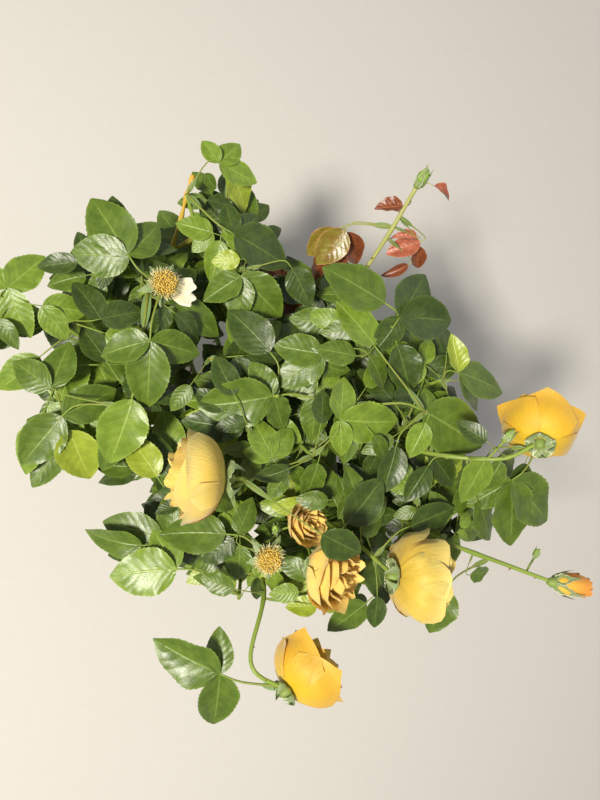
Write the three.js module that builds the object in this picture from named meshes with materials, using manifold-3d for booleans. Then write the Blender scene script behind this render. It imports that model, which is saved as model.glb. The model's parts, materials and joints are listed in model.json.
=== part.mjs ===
// A bush rose with butter yellow blooms, rooted in the ground. Millimetres, +Z up.
// The origin is the flat cut under the short main stem. Canes rise from the stem and fork once,
// and each limb ends at the foot of one leafy mass: shoots, compound leaves, blooms and buds in one solid.

import * as THREE from 'three';
import { mergeVertices } from 'three/addons/utils/BufferGeometryUtils.js';
import Module from 'manifold-3d';

const wasm = await Module();
wasm.setup();

// Clearances
const JOINT_GAP = 0.3;
const CUT_GAP = 0.35;
const CELL_MARGIN = 0.4;
const LIMB_MARGIN = 3.5;
const LEAF_SPACING = 8;
const SHOOT_MARGIN = 4;
const LOWEST_LEAF = 70;

// Main stem: radius at each height, from the flared foot over the swollen graft to the crown
const STEM_PROFILE = [[24, 0], [17.5, 5], [13.5, 16], [13, 27], [18, 38], [19.5, 47], [15, 57], [6, 62]];
const STEM_TOP = 63;
const STEM_SIDES = 12;
const STEM_LEAN = 0.06;
const CROWN_HEIGHT = 45;
const CROWN_SPREAD = 9.5;
const CROWN_SPREAD_SHARE = 0.1;

// Canes and the boughs that fork from them
const CANE_RADIUS = 5.4;
const BOUGH_RADIUS = 4.1;
const LIMB_TIP_RADIUS = 2.9;
const LIMB_SIDES = 7;
const LIMB_RINGS = 7;
const SHOOT_SIDES = 4;
const SHOOT_RINGS = 6;
const SIDE_SHOOT_SIDES = 3;
const SIDE_SHOOT_RINGS = 5;
const KNEE_SHARE = 0.45;
const LIMB_POSTS = 30;
const LEAST_SINE = 0.3;
const SHOOT_POSTS = 24;

// Shoots, stalks and leaves
const STRAIGHT_START = 26;
const FORK_FIRST = 0.1;
const FORK_STEP = 0.08;
const SHOOT_ARCH = 14;
const SHOOT_ARCH_SHARE = 0.4;
const SHOOT_RADIUS = 3;
const SIDE_SHOOT_RADIUS = 2.3;
const SHOOT_TIP_RADIUS = 1.8;
const STALK_RADIUS = 1.3;
const STALK_TOP = 0.4;
const LEAFLET_LENGTH = 63;
const LEAFLET_WIDTH_SHARE = 0.68;
const LEAFLET_FOLD_SHARE = 0.1;
const LEAFLET_OUTLINE = [[0.3, 0.5, 1], [0.68, 0.38, 0.6], [1, 0, -1], [0.68, -0.38, 0.6], [0.3, -0.5, 1]];
const LEAFLET_TESTS = [[0.12, 0.2], [0.3, 0.5], [0.5, 0.48], [0.68, 0.38], [0.86, 0.2], [1, 0]];
const PAIR_ANGLE = 74;
const PAIRS = [[0.34, 0.7], [0.72, 0.86]];
const PAIR_SEAT = 4;
const TWO_PAIR_SHARE = 0.6;
const SHORT_STALK = 46;
const LONG_STALK = 66;
const LEAF_SIZE = [0.86, 1.08];
const STALK_PITCH = [2, 24];
const HEADING_WOBBLE = 14;
const BLADE_ROLL = 16;
const BLADE_DIP = 0.14;
const SPIRAL_STEP = 144;
const LEAF_SPAN = [0.3, 0.96];
const CROWN_MIDDLE = new THREE.Vector2(-21, 30);
const SEED = 205;
const SEED_STEP = 17;
const SIZE_TRIES = [1, 0.8, 0.64];
const HEADING_TRIES = [0, 30, -30, 60, -60, 95, -95, 130, -130, 165];
const STALK_TESTS = [0.3, 0.55, 0.8, 1];

// Blooms, buds and spent flowers: radius and height along the flower's own axis, from the stalk up
const BLOOM_WIDTH = 82;
const BLOOM_SIDES = 10;
const BLOOM_LOBES = 5;
const BLOOM_RUFFLE = 0.09;
const BLOOM_PROFILE = [
  [0, -6.7], [7, -5.6], [9, 1.1], [27, 11.2], [39.4, 29], [41, 44.8], [21.3, 42.6], [14, 52.6], [0, 56],
];
const COLOUR_BUD_PROFILE = [[0, -4], [5, -3], [8.5, 6], [10.5, 18], [9, 28], [4, 38], [0, 39]];
const GREEN_BUD_PROFILE = [[0, -3], [3.6, -2], [5.4, 4], [4.4, 11], [5.2, 17], [2, 26], [0, 27]];
const SPENT_PROFILE = [[0, -4], [4.5, -3], [5, 2], [17, 6], [13, 12], [6, 14], [0, 14.5]];
const BUD_SIDES = 8;
const HEAD_ROOM = {
  bloom: { centre: 26, reach: 43 },
  colour_bud: { centre: 16, reach: 17 },
  green_bud: { centre: 10, reach: 11 },
  spent: { centre: 6, reach: 20 },
};

// Colours
const BARK_COLOUR = 0x6d5a3c;
const CANE_COLOUR = 0x5f7a34;
const LEAF_COLOUR = 0x4c7a2c;

// Limbs: the parent, how far along it the limb starts, its tip and how much it arches upward
const LIMBS = [
  { name: 'cane_left', from: 'crown', tip: [-122, 46, 192], arch: 16 },
  { name: 'cane_back', from: 'crown', tip: [-62, 150, 192], arch: 16 },
  { name: 'cane_right', from: 'crown', tip: [104, 4, 214], arch: 16 },
  { name: 'cane_front', from: 'crown', tip: [46, -98, 206], arch: 16 },
  { name: 'cane_near_left', from: 'crown', tip: [-68, -66, 186], arch: 14 },
  { name: 'cane_middle', from: 'crown', tip: [-6, 22, 212], arch: 4 },
  { name: 'bough_upper_left', from: 'cane_left', share: 0.5, tip: [-102, 118, 206], arch: 8 },
  { name: 'bough_back_right', from: 'cane_back', share: 0.42, tip: [42, 112, 210], arch: 8 },
  { name: 'bough_front_right', from: 'cane_right', share: 0.5, tip: [134, -82, 222], arch: 8 },
  { name: 'bough_front_left', from: 'cane_front', share: 0.46, tip: [-14, -124, 206], arch: 8 },
];

// Leafy masses. Each keeps to the space nearer to its own heart than to any other, and leaves stay
// within its reach of the crown's middle in plan. The main shoot comes first.
// A shoot has a tip, bends on the way, a number of leaves, the heading of its lowest leaf, and what it
// bears. It may have its own reach, leaf size and span, the shares of its length that leaves sit between.
const MASSES = [
  {
    name: 'foliage_left', limb: 'cane_left', heart: [-208, 62], reach: 262, shoots: [
      { tip: [-262, 128, 374], via: [[-190, 84, 322]], leaves: 4, turn: 300, reach: 296 },
      { tip: [-238, 66, 356], leaves: 4, turn: 250 },
      { tip: [-208, 18, 330], leaves: 4, turn: 200 },
      { tip: [-190, 72, 186], leaves: 3, turn: 170 },
      { tip: [-160, 22, 388], leaves: 4, turn: 280 },
    ],
  },
  {
    name: 'foliage_upper_left', limb: 'bough_upper_left', heart: [-142, 170], reach: 218, shoots: [
      {
        tip: [-128, 141, 408], via: [[-148, 134, 372]], leaves: 4, turn: 255,
        bears: 'spent', faces: [0.25, 0, 1],
      },
      { tip: [-166, 164, 396], leaves: 5, turn: 150, reach: 257 },
      { tip: [-112, 186, 318], leaves: 5, turn: 60 },
      { tip: [-168, 160, 204], leaves: 5, turn: 130 },
      { tip: [-104, 146, 340], leaves: 4, turn: 20 },
    ],
  },
  {
    name: 'foliage_back', limb: 'cane_back', heart: [-84, 226], reach: 236, shoots: [
      { tip: [-104, 236, 390], via: [[-88, 200, 344]], leaves: 3, turn: 100, span: [0.3, 0.8] },
      { tip: [-62, 236, 380], leaves: 4, turn: 60, reach: 266 },
      { tip: [-44, 190, 360], leaves: 4, turn: 10 },
      { tip: [-76, 204, 190], leaves: 4, turn: 90 },
      { tip: [-50, 160, 398], leaves: 4, turn: 330 },
    ],
  },
  {
    name: 'foliage_back_right', limb: 'bough_back_right', heart: [44, 168], reach: 185, shoots: [
      {
        tip: [104, 233, 482], via: [[52, 122, 372], [83, 182, 438]], leaves: 3, turn: 72, size: 0.55,
        span: [0.5, 0.82], reach: 240, bears: 'green_bud', faces: [0.25, 0.6, 0.75],
      },
      { tip: [40, 184, 410], leaves: 2, turn: 120, size: 0.6, span: [0.8, 0.96], reach: 200 },
      { tip: [92, 108, 446], leaves: 4, turn: 95 },
      { tip: [110, 130, 286], leaves: 3, turn: 30 },
      { tip: [44, 170, 212], leaves: 3, turn: 80 },
    ],
  },
  {
    name: 'foliage_right', limb: 'cane_right', heart: [176, 26], reach: 222, shoots: [
      {
        tip: [223, -11, 500], via: [[122, -20, 412], [186, -28, 480]], leaves: 4, turn: 320,
        bears: 'bloom', faces: [0.5, 0.52, -0.66],
      },
      { tip: [158, 52, 428], leaves: 4, turn: 40 },
      { tip: [158, 72, 352], leaves: 4, turn: 20 },
      { tip: [178, 8, 226], leaves: 3, turn: 350 },
      { tip: [126, 18, 452], leaves: 4, turn: 320 },
    ],
  },
  {
    name: 'foliage_front_right', limb: 'bough_front_right', heart: [182, -104], reach: 250, shoots: [
      {
        tip: [259, -156, 475], via: [[138, -108, 428], [222, -142, 462]], leaves: 3, turn: 60, size: 0.6,
        span: [0.3, 0.64], bears: 'colour_bud', faces: [0.93, -0.15, 0.1],
      },
      { tip: [140, -122, 436], leaves: 4, turn: 310 },
      { tip: [206, -62, 452], leaves: 4, turn: 340, reach: 300 },
      { tip: [164, -106, 226], leaves: 4, turn: 330 },
      { tip: [130, -72, 424], leaves: 3, turn: 270 },
    ],
  },
  {
    name: 'foliage_front', limb: 'cane_front', heart: [60, -128], reach: 258, shoots: [
      {
        tip: [88, -140, 465], via: [[62, -112, 380]], leaves: 3, turn: 330,
        bears: 'bloom', faces: [0.9, -0.15, 0.06],
      },
      {
        tip: [14, -132, 440], leaves: 3, turn: 100,
        bears: 'bloom', faces: [0.86, 0.1, 0.18], headSize: 0.9,
      },
      { tip: [52, -172, 380], leaves: 4, turn: 280, size: 0.8 },
      { tip: [84, -160, 220], leaves: 3, turn: 300 },
      { tip: [66, -70, 410], leaves: 3, turn: 60 },
      { tip: [20, -86, 322], leaves: 3, turn: 200 },
    ],
  },
  {
    name: 'foliage_front_left', limb: 'bough_front_left', heart: [-36, -196], reach: 232, shoots: [
      {
        tip: [-9, -256, 425], via: [[-22, -168, 372], [-44, -228, 418]], leaves: 2, turn: 23,
        span: [0.45, 0.75], reach: 330, bears: 'bloom', faces: [0.77, 0.4, -0.36],
      },
      { tip: [-26, -128, 412], leaves: 3, turn: 340, bears: 'spent', faces: [0, 0, 1] },
      { tip: [-50, -176, 380], leaves: 3, turn: 180 },
      { tip: [-36, -180, 204], leaves: 4, turn: 250 },
      { tip: [6, -182, 356], leaves: 4, turn: 300, size: 0.8 },
    ],
  },
  {
    name: 'foliage_near_left', limb: 'cane_near_left', heart: [-104, -78], reach: 198, shoots: [
      {
        tip: [-73, -42, 450], via: [[-58, -60, 372], [-52, -46, 434]], leaves: 3, turn: 200,
        bears: 'bloom', faces: [-0.95, 0.05, -0.1], headSize: 1.05,
      },
      { tip: [-84, -128, 344], leaves: 4, turn: 180, reach: 238 },
      { tip: [-104, -92, 366], leaves: 4, turn: 230 },
      { tip: [-124, -44, 330], leaves: 4, turn: 190 },
      { tip: [-104, -86, 184], leaves: 3, turn: 220 },
    ],
  },
  {
    name: 'foliage_middle', limb: 'cane_middle', heart: [-10, 30], reach: 185, shoots: [
      { tip: [-22, 34, 440], leaves: 4, turn: 180 },
      { tip: [54, 22, 434], leaves: 3, turn: 0 },
      { tip: [-84, 70, 410], leaves: 3, turn: 150 },
      { tip: [24, 84, 424], leaves: 3, turn: 60 },
      { tip: [-44, -4, 420], leaves: 4, turn: 210 },
      { tip: [16, -26, 428], leaves: 3, turn: 300 },
    ],
  },
];

const UP = new THREE.Vector3(0, 0, 1);
const vec = (p) => new THREE.Vector3(p[0], p[1], p[2]);
const planPoint = (p) => new THREE.Vector3(p[0], p[1], 0);
const radians = THREE.MathUtils.degToRad;

// Unit direction with a bearing in plan and a climb, up over along
function headed(bearing, climb) {
  return new THREE.Vector3(Math.cos(bearing), Math.sin(bearing), climb).normalize();
}

// Seeded numbers from 0 to 1
function seeded(seed) {
  let state = seed >>> 0;
  return () => {
    state = (state + 0x6d2b79f5) >>> 0;
    let t = Math.imul(state ^ (state >>> 15), 1 | state);
    t = (t + Math.imul(t ^ (t >>> 7), 61 | t)) ^ t;
    return ((t ^ (t >>> 14)) >>> 0) / 4294967296;
  };
}

function indexedGeometry(positions, triangles) {
  const geometry = new THREE.BufferGeometry();
  geometry.setAttribute('position', new THREE.Float32BufferAttribute(positions, 3));
  geometry.setIndex(triangles);
  return geometry;
}

// A closed mesh as a solid that can be joined and cut
function solidOf(geometry) {
  const bare = geometry.clone();
  bare.deleteAttribute('normal');
  bare.deleteAttribute('uv');
  const merged = mergeVertices(bare, 1e-4);
  return new wasm.Manifold(new wasm.Mesh({
    numProp: 3,
    vertProperties: new Float32Array(merged.attributes.position.array),
    triVerts: new Uint32Array(merged.index.array),
  }));
}

function geometryOf(solid) {
  const mesh = solid.getMesh();
  const geometry = indexedGeometry(Array.from(mesh.vertProperties), Array.from(mesh.triVerts));
  geometry.computeVertexNormals();
  return geometry;
}

// Tapering limb: rings square to the curve, carried along without twist and closed by flat ends
function limbGeometry(curve, radiusAt, sides, rings) {
  const positions = [];
  const triangles = [];
  const across = new THREE.Vector3(0, 1, 0).cross(curve.getTangent(0));
  if (across.length() < LEAST_SINE) across.set(1, 0, 0);
  for (let ring = 0; ring < rings; ring += 1) {
    const share = ring / (rings - 1);
    const centre = curve.getPoint(share);
    const along = curve.getTangent(share);
    across.projectOnPlane(along).normalize();
    const over = new THREE.Vector3().crossVectors(along, across);
    for (let side = 0; side < sides; side += 1) {
      const angle = (2 * Math.PI * side) / sides;
      const point = centre.clone();
      point.addScaledVector(across, radiusAt(share) * Math.cos(angle));
      point.addScaledVector(over, radiusAt(share) * Math.sin(angle));
      positions.push(point.x, point.y, point.z);
    }
  }
  for (let ring = 0; ring < rings - 1; ring += 1) {
    for (let side = 0; side < sides; side += 1) {
      const a = ring * sides + side;
      const b = ring * sides + ((side + 1) % sides);
      triangles.push(a, b, a + sides, b, b + sides, a + sides);
    }
  }
  const last = (rings - 1) * sides;
  for (let side = 1; side < sides - 1; side += 1) {
    triangles.push(0, side + 1, side);
    triangles.push(last, last + side, last + side + 1);
  }
  return indexedGeometry(positions, triangles);
}

const taper = (from, to) => (share) => from + (to - from) * share;
const smoothCurve = (points) => new THREE.CatmullRomCurve3(points, false, 'catmullrom', 0.5);

// Main stem, leaning a little toward the side where the canes are heaviest
function mainStemGeometry(inflate = 0) {
  const flanks = STEM_PROFILE.map(([radius, height]) => [radius + inflate, height]);
  const geometry = turned([[0, 0], ...flanks, [0, STEM_TOP + inflate]], STEM_SIDES);
  const position = geometry.attributes.position;
  for (let i = 0; i < position.count; i += 1) {
    position.setX(i, position.getX(i) + STEM_LEAN * position.getZ(i));
  }
  return geometry;
}

// Where a cane leaves the crown, a little to the side that its tip lies on
function crownPoint(tip) {
  const lean = planPoint(tip);
  const spread = Math.min(CROWN_SPREAD, CROWN_SPREAD_SHARE * lean.length());
  const middle = new THREE.Vector3(STEM_LEAN * CROWN_HEIGHT, 0, CROWN_HEIGHT);
  return middle.addScaledVector(lean.normalize(), spread);
}

// All limbs: curve, radius along it and solid, each cut 0.3 mm clear of what it grows from
function growLimbs() {
  const limbs = new Map();
  const crownCut = solidOf(mainStemGeometry(CUT_GAP));
  for (const { name, from, share, tip, arch } of LIMBS) {
    const isCane = from === 'crown';
    const parent = limbs.get(from);
    const start = isCane ? crownPoint(tip) : parent.curve.getPoint(share);
    const end = vec(tip);
    const knee = start.clone().lerp(end, KNEE_SHARE).addScaledVector(UP, arch);
    const curve = smoothCurve([start, knee, end]);
    const radius = taper(isCane ? CANE_RADIUS : BOUGH_RADIUS, LIMB_TIP_RADIUS);
    const cut = isCane ? crownCut : solidOf(limbGeometry(
      parent.curve, (at) => parent.radius(at) + CUT_GAP, LIMB_SIDES, LIMB_RINGS));
    const solid = largest(solidOf(limbGeometry(curve, radius, LIMB_SIDES, LIMB_RINGS)).subtract(cut));
    limbs.set(name, { curve, radius, solid });
  }
  return limbs;
}

// The largest connected body of a solid; loose scraps are dropped
function largest(solid) {
  const bodies = solid.decompose();
  bodies.sort((a, b) => b.volume() - a.volume());
  return bodies[0];
}

// Outline points of a leaflet: both shoulders, both flanks and the tip, folded up from the midrib
function leafletOutline({ place, along, normal, length, width }) {
  const side = new THREE.Vector3().crossVectors(normal, along).normalize();
  const fold = LEAFLET_FOLD_SHARE * width;
  return LEAFLET_OUTLINE.map(([share, half, lift]) => (
    place.clone()
      .addScaledVector(along, share * length)
      .addScaledVector(side, half * width)
      .addScaledVector(normal, lift * fold)
  ));
}

// Compound leaf as one closed body: a three-sided stalk whose sides open into its leaflets
class LeafBody {
  constructor() {
    this.positions = [];
    this.triangles = [];
  }

  point(place) {
    this.positions.push(place.x, place.y, place.z);
    return this.positions.length / 3 - 1;
  }

  // Ring of three corners round the stalk: left, right and underside
  ring(place, side, normal) {
    const corner = (across, over) => {
      const out = place.clone().addScaledVector(side, across * STALK_RADIUS);
      return this.point(out.addScaledVector(normal, over * STALK_RADIUS));
    };
    return { left: corner(1, STALK_TOP), right: corner(-1, STALK_TOP), under: corner(0, -1) };
  }

  stretch(near, far, openLeft, openRight) {
    this.triangles.push(near.right, far.right, far.left, near.right, far.left, near.left);
    if (!openLeft) this.triangles.push(near.left, far.left, far.under, near.left, far.under, near.under);
    if (openRight) return;
    this.triangles.push(far.right, near.right, near.under, far.right, near.under, far.under);
  }

  // Leaflet grown from a hole in the stalk with these top and underside corners
  blade(leaflet, leftTop, rightTop, leftUnder, rightUnder) {
    const [l1, l2, tip, r2, r1] = leafletOutline(leaflet).map((place) => this.point(place));
    this.triangles.push(rightTop, r1, l1, rightTop, l1, leftTop, r1, r2, l2, r1, l2, l1, r2, tip, l2);
    this.triangles.push(leftUnder, l1, l2, leftUnder, l2, tip, rightUnder, tip, r2, rightUnder, r2, r1);
    if (leftUnder !== rightUnder) this.triangles.push(leftUnder, tip, rightUnder);
    this.triangles.push(leftTop, l1, leftUnder, rightTop, rightUnder, r1);
  }

  build(root, end, normal, terminal, pairs) {
    const rise = end.clone().sub(root);
    const half = PAIR_SEAT / 2 / rise.length();
    const side = new THREE.Vector3().crossVectors(normal, rise).normalize();
    let near = this.ring(root, side, normal);
    this.triangles.push(near.left, near.under, near.right);
    for (const { share, left, right } of pairs) {
      const start = this.ring(root.clone().addScaledVector(rise, share - half), side, normal);
      const stop = this.ring(root.clone().addScaledVector(rise, share + half), side, normal);
      this.stretch(near, start, false, false);
      this.stretch(start, stop, Boolean(left), Boolean(right));
      if (left) this.blade(left, start.left, stop.left, start.under, stop.under);
      if (right) this.blade(right, stop.right, start.right, stop.under, start.under);
      near = stop;
    }
    const last = this.ring(end, side, normal);
    this.stretch(near, last, false, false);
    this.blade(terminal, last.left, last.right, last.under, last.under);
    return solidOf(indexedGeometry(this.positions, this.triangles));
  }
}

// A turned shape about local +Z
function turned(profile, sides) {
  const points = profile.map(([radius, height]) => new THREE.Vector2(radius, height));
  return new THREE.LatheGeometry(points, sides).rotateX(Math.PI / 2);
}

// Bloom: a cup of petals around a closed heart, its rim drawn out into lobes
function bloomGeometry() {
  const geometry = turned(BLOOM_PROFILE, BLOOM_SIDES);
  const position = geometry.attributes.position;
  for (let i = 0; i < position.count; i += 1) {
    const x = position.getX(i);
    const y = position.getY(i);
    const share = Math.hypot(x, y) / (BLOOM_WIDTH / 2);
    const ruffle = 1 + BLOOM_RUFFLE * share * Math.cos(BLOOM_LOBES * Math.atan2(y, x));
    position.setXY(i, x * ruffle, y * ruffle);
  }
  return geometry;
}

const HEADS = {
  bloom: bloomGeometry,
  colour_bud: () => turned(COLOUR_BUD_PROFILE, BUD_SIDES),
  green_bud: () => turned(GREEN_BUD_PROFILE, BUD_SIDES),
  spent: () => turned(SPENT_PROFILE, BUD_SIDES),
};

// Room that every bloom and bud needs, kept free of leaves by all masses
function headRooms() {
  const bearing = MASSES.flatMap(({ shoots }) => shoots).filter(({ bears }) => bears);
  return bearing.map(({ tip, faces, bears }) => ({
    at: vec(tip).addScaledVector(vec(faces).normalize(), HEAD_ROOM[bears].centre),
    reach: HEAD_ROOM[bears].reach,
  }));
}

// A mass may only use the space nearer to its own heart than to another's, clear of every limb
class Space {
  constructor(heart, others, limbs) {
    this.walls = others.map((other) => {
      const normal = other.clone().sub(heart).normalize();
      return { normal, limit: normal.dot(other.clone().add(heart).multiplyScalar(0.5)) - CELL_MARGIN };
    });
    this.posts = [];
    for (const { curve, radius } of limbs) {
      for (let i = 0; i <= LIMB_POSTS; i += 1) {
        const share = i / LIMB_POSTS;
        this.posts.push({ at: curve.getPoint(share), reach: radius(share) + LIMB_MARGIN });
      }
    }
  }

  holds(point) {
    return this.walls.every(({ normal, limit }) => normal.dot(point) < limit);
  }

  // Whether a point has room within this reach of the crown's middle
  clear(point, reach) {
    if (point.z < LOWEST_LEAF || !this.holds(point)) return false;
    if (Math.hypot(point.x - CROWN_MIDDLE.x, point.y - CROWN_MIDDLE.y) > reach) return false;
    return !this.posts.some((post) => post.at.distanceTo(point) < post.reach);
  }

  fill(points, reach) {
    points.forEach((at) => this.posts.push({ at, reach }));
  }
}

// Grows one mass: shoots, leaves and heads, fused into a single closed body
class Mass {
  constructor(spec, index, limbs) {
    this.spec = spec;
    this.random = seeded(SEED + SEED_STEP * index);
    const limb = limbs.get(spec.limb);
    this.start = limb.curve.getPoint(1);
    this.heading = limb.curve.getTangent(1);
    this.start.addScaledVector(this.heading, JOINT_GAP);
    const others = MASSES.filter((mass) => mass !== spec).map((mass) => planPoint(mass.heart));
    this.space = new Space(planPoint(spec.heart), others, [...limbs.values()]);
    this.space.posts.push(...headRooms());
    this.pieces = [];
  }

  between(low, high) {
    return low + (high - low) * this.random();
  }

  shootCurve(shoot, index) {
    const bends = (shoot.via ?? []).map(vec);
    if (index === 0) {
      const rise = this.start.clone().addScaledVector(this.heading, STRAIGHT_START);
      return smoothCurve([this.start.clone(), rise, ...bends, vec(shoot.tip)]);
    }
    const root = this.main.getPoint(FORK_FIRST + FORK_STEP * index);
    const lift = root.clone().lerp(vec(shoot.tip), SHOOT_ARCH_SHARE).addScaledVector(UP, SHOOT_ARCH);
    return smoothCurve([root, ...(bends.length ? bends : [lift]), vec(shoot.tip)]);
  }

  growShoot(shoot, index) {
    const curve = this.shootCurve(shoot, index);
    if (!curve.getPoints(SHOOT_POSTS).slice(1).every((point) => this.space.holds(point))) {
      throw new Error(`shoot ${index} of ${this.spec.name} leaves its space`);
    }
    const radius = taper(index === 0 ? SHOOT_RADIUS : SIDE_SHOOT_RADIUS, SHOOT_TIP_RADIUS);
    const [sides, rings] = index === 0 ? [SHOOT_SIDES, SHOOT_RINGS] : [SIDE_SHOOT_SIDES, SIDE_SHOOT_RINGS];
    this.pieces.push(solidOf(limbGeometry(curve, radius, sides, rings)));
    if (index === 0) this.main = curve;
    this.space.fill(curve.getPoints(SHOOT_POSTS), SHOOT_MARGIN);
    return curve;
  }

  growHead({ tip, faces, bears, headSize = 1 }) {
    const axis = vec(faces).normalize();
    const reference = Math.abs(axis.z) > 0.9 ? new THREE.Vector3(0, 1, 0) : UP;
    const side = new THREE.Vector3().crossVectors(axis, reference).normalize();
    const over = new THREE.Vector3().crossVectors(axis, side);
    const head = HEADS[bears]().scale(headSize, headSize, headSize);
    head.applyMatrix4(new THREE.Matrix4().makeBasis(side, over, axis).setPosition(vec(tip)));
    this.pieces.push(solidOf(head));
  }

  // Places spread over a leaflet, to test and to fill its space
  leafletPlaces({ place, along, normal, length, width }) {
    const side = new THREE.Vector3().crossVectors(normal, along).normalize();
    return LEAFLET_TESTS.flatMap(([share, half]) => [-half, 0, half].map((across) => (
      place.clone().addScaledVector(along, share * length).addScaledVector(side, across * width))));
  }

  leaflet(place, along, normal, size) {
    const length = LEAFLET_LENGTH * size;
    return { place, along, normal, length, width: length * LEAFLET_WIDTH_SHARE };
  }

  // Compound leaf, at the first size and heading that has room
  growLeaf(shoot, curve, order) {
    const [first, last] = shoot.span ?? LEAF_SPAN;
    const root = curve.getPoint(first + ((last - first) * order) / Math.max(1, shoot.leaves - 1));
    const size = this.between(...LEAF_SIZE) * (shoot.size ?? 1);
    const pairs = this.random() < TWO_PAIR_SHARE ? 2 : 1;
    const wobble = this.between(-HEADING_WOBBLE, HEADING_WOBBLE);
    const pitch = radians(this.between(...STALK_PITCH));
    const roll = radians(this.between(-BLADE_ROLL, BLADE_ROLL));
    const reach = shoot.reach ?? this.spec.reach;
    for (const scale of SIZE_TRIES) {
      for (const turn of HEADING_TRIES) {
        const bearing = radians(shoot.turn + SPIRAL_STEP * order + wobble + turn);
        if (this.placeLeaf({ root, bearing, pitch, roll, size: size * scale, pairs, reach })) return;
      }
    }
  }

  // A stalk with one or two pairs of leaflets and one at its end, where stalk and end leaflet have room
  placeLeaf({ root, bearing, pitch, roll, size, pairs, reach }) {
    const hasRoom = (points) => points.every((point) => this.space.clear(point, reach));
    const stalkLength = (pairs === 2 ? LONG_STALK : SHORT_STALK) * size;
    const end = root.clone().addScaledVector(headed(bearing, Math.tan(pitch)), stalkLength);
    const stalk = STALK_TESTS.map((at) => root.clone().lerp(end, at));
    const level = headed(bearing, -Math.tan(BLADE_DIP));
    const side = new THREE.Vector3().crossVectors(UP, level);
    const normal = new THREE.Vector3().crossVectors(level, side).normalize().applyAxisAngle(level, roll);
    const terminal = this.leaflet(end, level, normal, size);
    if (!hasRoom(stalk) || !hasRoom(this.leafletPlaces(terminal))) return false;
    const fitting = [terminal];
    const lateral = (share, scale, hand) => {
      const outward = level.clone().applyAxisAngle(normal, hand * radians(PAIR_ANGLE));
      const leaflet = this.leaflet(root.clone().lerp(end, share), outward, normal, size * scale);
      if (!hasRoom(this.leafletPlaces(leaflet))) return null;
      fitting.push(leaflet);
      return leaflet;
    };
    const joints = PAIRS.slice(2 - pairs).map(([share, scale]) => (
      { share, left: lateral(share, scale, 1), right: lateral(share, scale, -1) }));
    this.pieces.push(new LeafBody().build(root, end, normal, terminal, joints));
    fitting.forEach((leaflet) => this.space.fill(this.leafletPlaces(leaflet), LEAF_SPACING));
    this.space.fill(stalk, SHOOT_MARGIN);
    return true;
  }

  build() {
    const curves = this.spec.shoots.map((shoot, index) => this.growShoot(shoot, index));
    this.spec.shoots.filter(({ bears }) => bears).forEach((shoot) => this.growHead(shoot));
    this.spec.shoots.forEach((shoot, index) => {
      for (let order = 0; order < shoot.leaves; order += 1) {
        this.growLeaf(shoot, curves[index], order);
      }
    });
    return largest(wasm.Manifold.union(this.pieces));
  }
}

function partMesh(name, solid, colour, roughness) {
  const material = new THREE.MeshStandardMaterial({ color: colour, roughness, metalness: 0 });
  const mesh = new THREE.Mesh(geometryOf(solid), material);
  mesh.name = name;
  return mesh;
}

const bush = new THREE.Group();
const limbs = growLimbs();
bush.add(partMesh('main_stem', solidOf(mainStemGeometry()), BARK_COLOUR, 0.85));
for (const [name, { solid }] of limbs) {
  bush.add(partMesh(name, solid, CANE_COLOUR, 0.6));
}
MASSES.forEach((spec, index) => {
  bush.add(partMesh(spec.name, new Mass(spec, index, limbs).build(), LEAF_COLOUR, 0.55));
});

export default bush;
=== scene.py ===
"""A bush rose with butter yellow blooms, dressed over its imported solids. +Z up.

The growing rule works in millimetres, with the same numbers as the solids, and meshes are written in metres.
Canes get their bark and thorns, and each leafy mass becomes shoots, compound leaves and blossom.
"""

import json
import logging
import math
from dataclasses import dataclass, field
from enum import Enum
from functools import cache
from itertools import product
from typing import Callable, Self

import bpy
import numpy as np
from mathutils import Matrix, Vector

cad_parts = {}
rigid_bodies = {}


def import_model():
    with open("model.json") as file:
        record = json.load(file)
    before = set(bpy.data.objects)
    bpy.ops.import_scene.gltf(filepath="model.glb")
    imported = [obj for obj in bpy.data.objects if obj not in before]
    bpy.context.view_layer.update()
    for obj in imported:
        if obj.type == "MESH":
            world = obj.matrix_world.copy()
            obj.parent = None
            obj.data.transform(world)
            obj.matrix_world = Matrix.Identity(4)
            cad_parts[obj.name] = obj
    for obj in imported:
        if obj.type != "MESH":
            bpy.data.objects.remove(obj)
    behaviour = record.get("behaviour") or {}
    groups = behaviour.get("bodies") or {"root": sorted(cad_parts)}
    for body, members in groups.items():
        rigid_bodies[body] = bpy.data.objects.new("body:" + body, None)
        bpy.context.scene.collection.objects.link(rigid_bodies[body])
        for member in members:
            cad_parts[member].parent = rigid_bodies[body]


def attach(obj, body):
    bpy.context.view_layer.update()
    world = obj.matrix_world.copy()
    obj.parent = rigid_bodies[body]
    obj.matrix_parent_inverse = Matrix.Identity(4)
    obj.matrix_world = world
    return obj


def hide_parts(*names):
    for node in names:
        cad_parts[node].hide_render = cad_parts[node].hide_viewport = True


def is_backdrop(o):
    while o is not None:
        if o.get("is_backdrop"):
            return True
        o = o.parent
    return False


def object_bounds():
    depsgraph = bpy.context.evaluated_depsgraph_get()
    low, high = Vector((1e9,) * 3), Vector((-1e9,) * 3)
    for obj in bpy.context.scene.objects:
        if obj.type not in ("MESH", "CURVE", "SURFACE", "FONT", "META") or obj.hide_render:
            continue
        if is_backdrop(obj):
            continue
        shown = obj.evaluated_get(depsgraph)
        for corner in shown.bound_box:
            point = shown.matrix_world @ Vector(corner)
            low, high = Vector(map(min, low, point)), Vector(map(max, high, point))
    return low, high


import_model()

Array = np.ndarray
Test = Callable[[Array], bool]
Material = bpy.types.Material
Socket = bpy.types.NodeSocket
Pair = tuple[float, float]
Triple = tuple[float, float, float]
Shade = tuple[int, int, int]
Key = int | str
log = logging.getLogger("rose_bush")

METRES = 0.001
UP = np.array([0.0, 0.0, 1.0])

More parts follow.
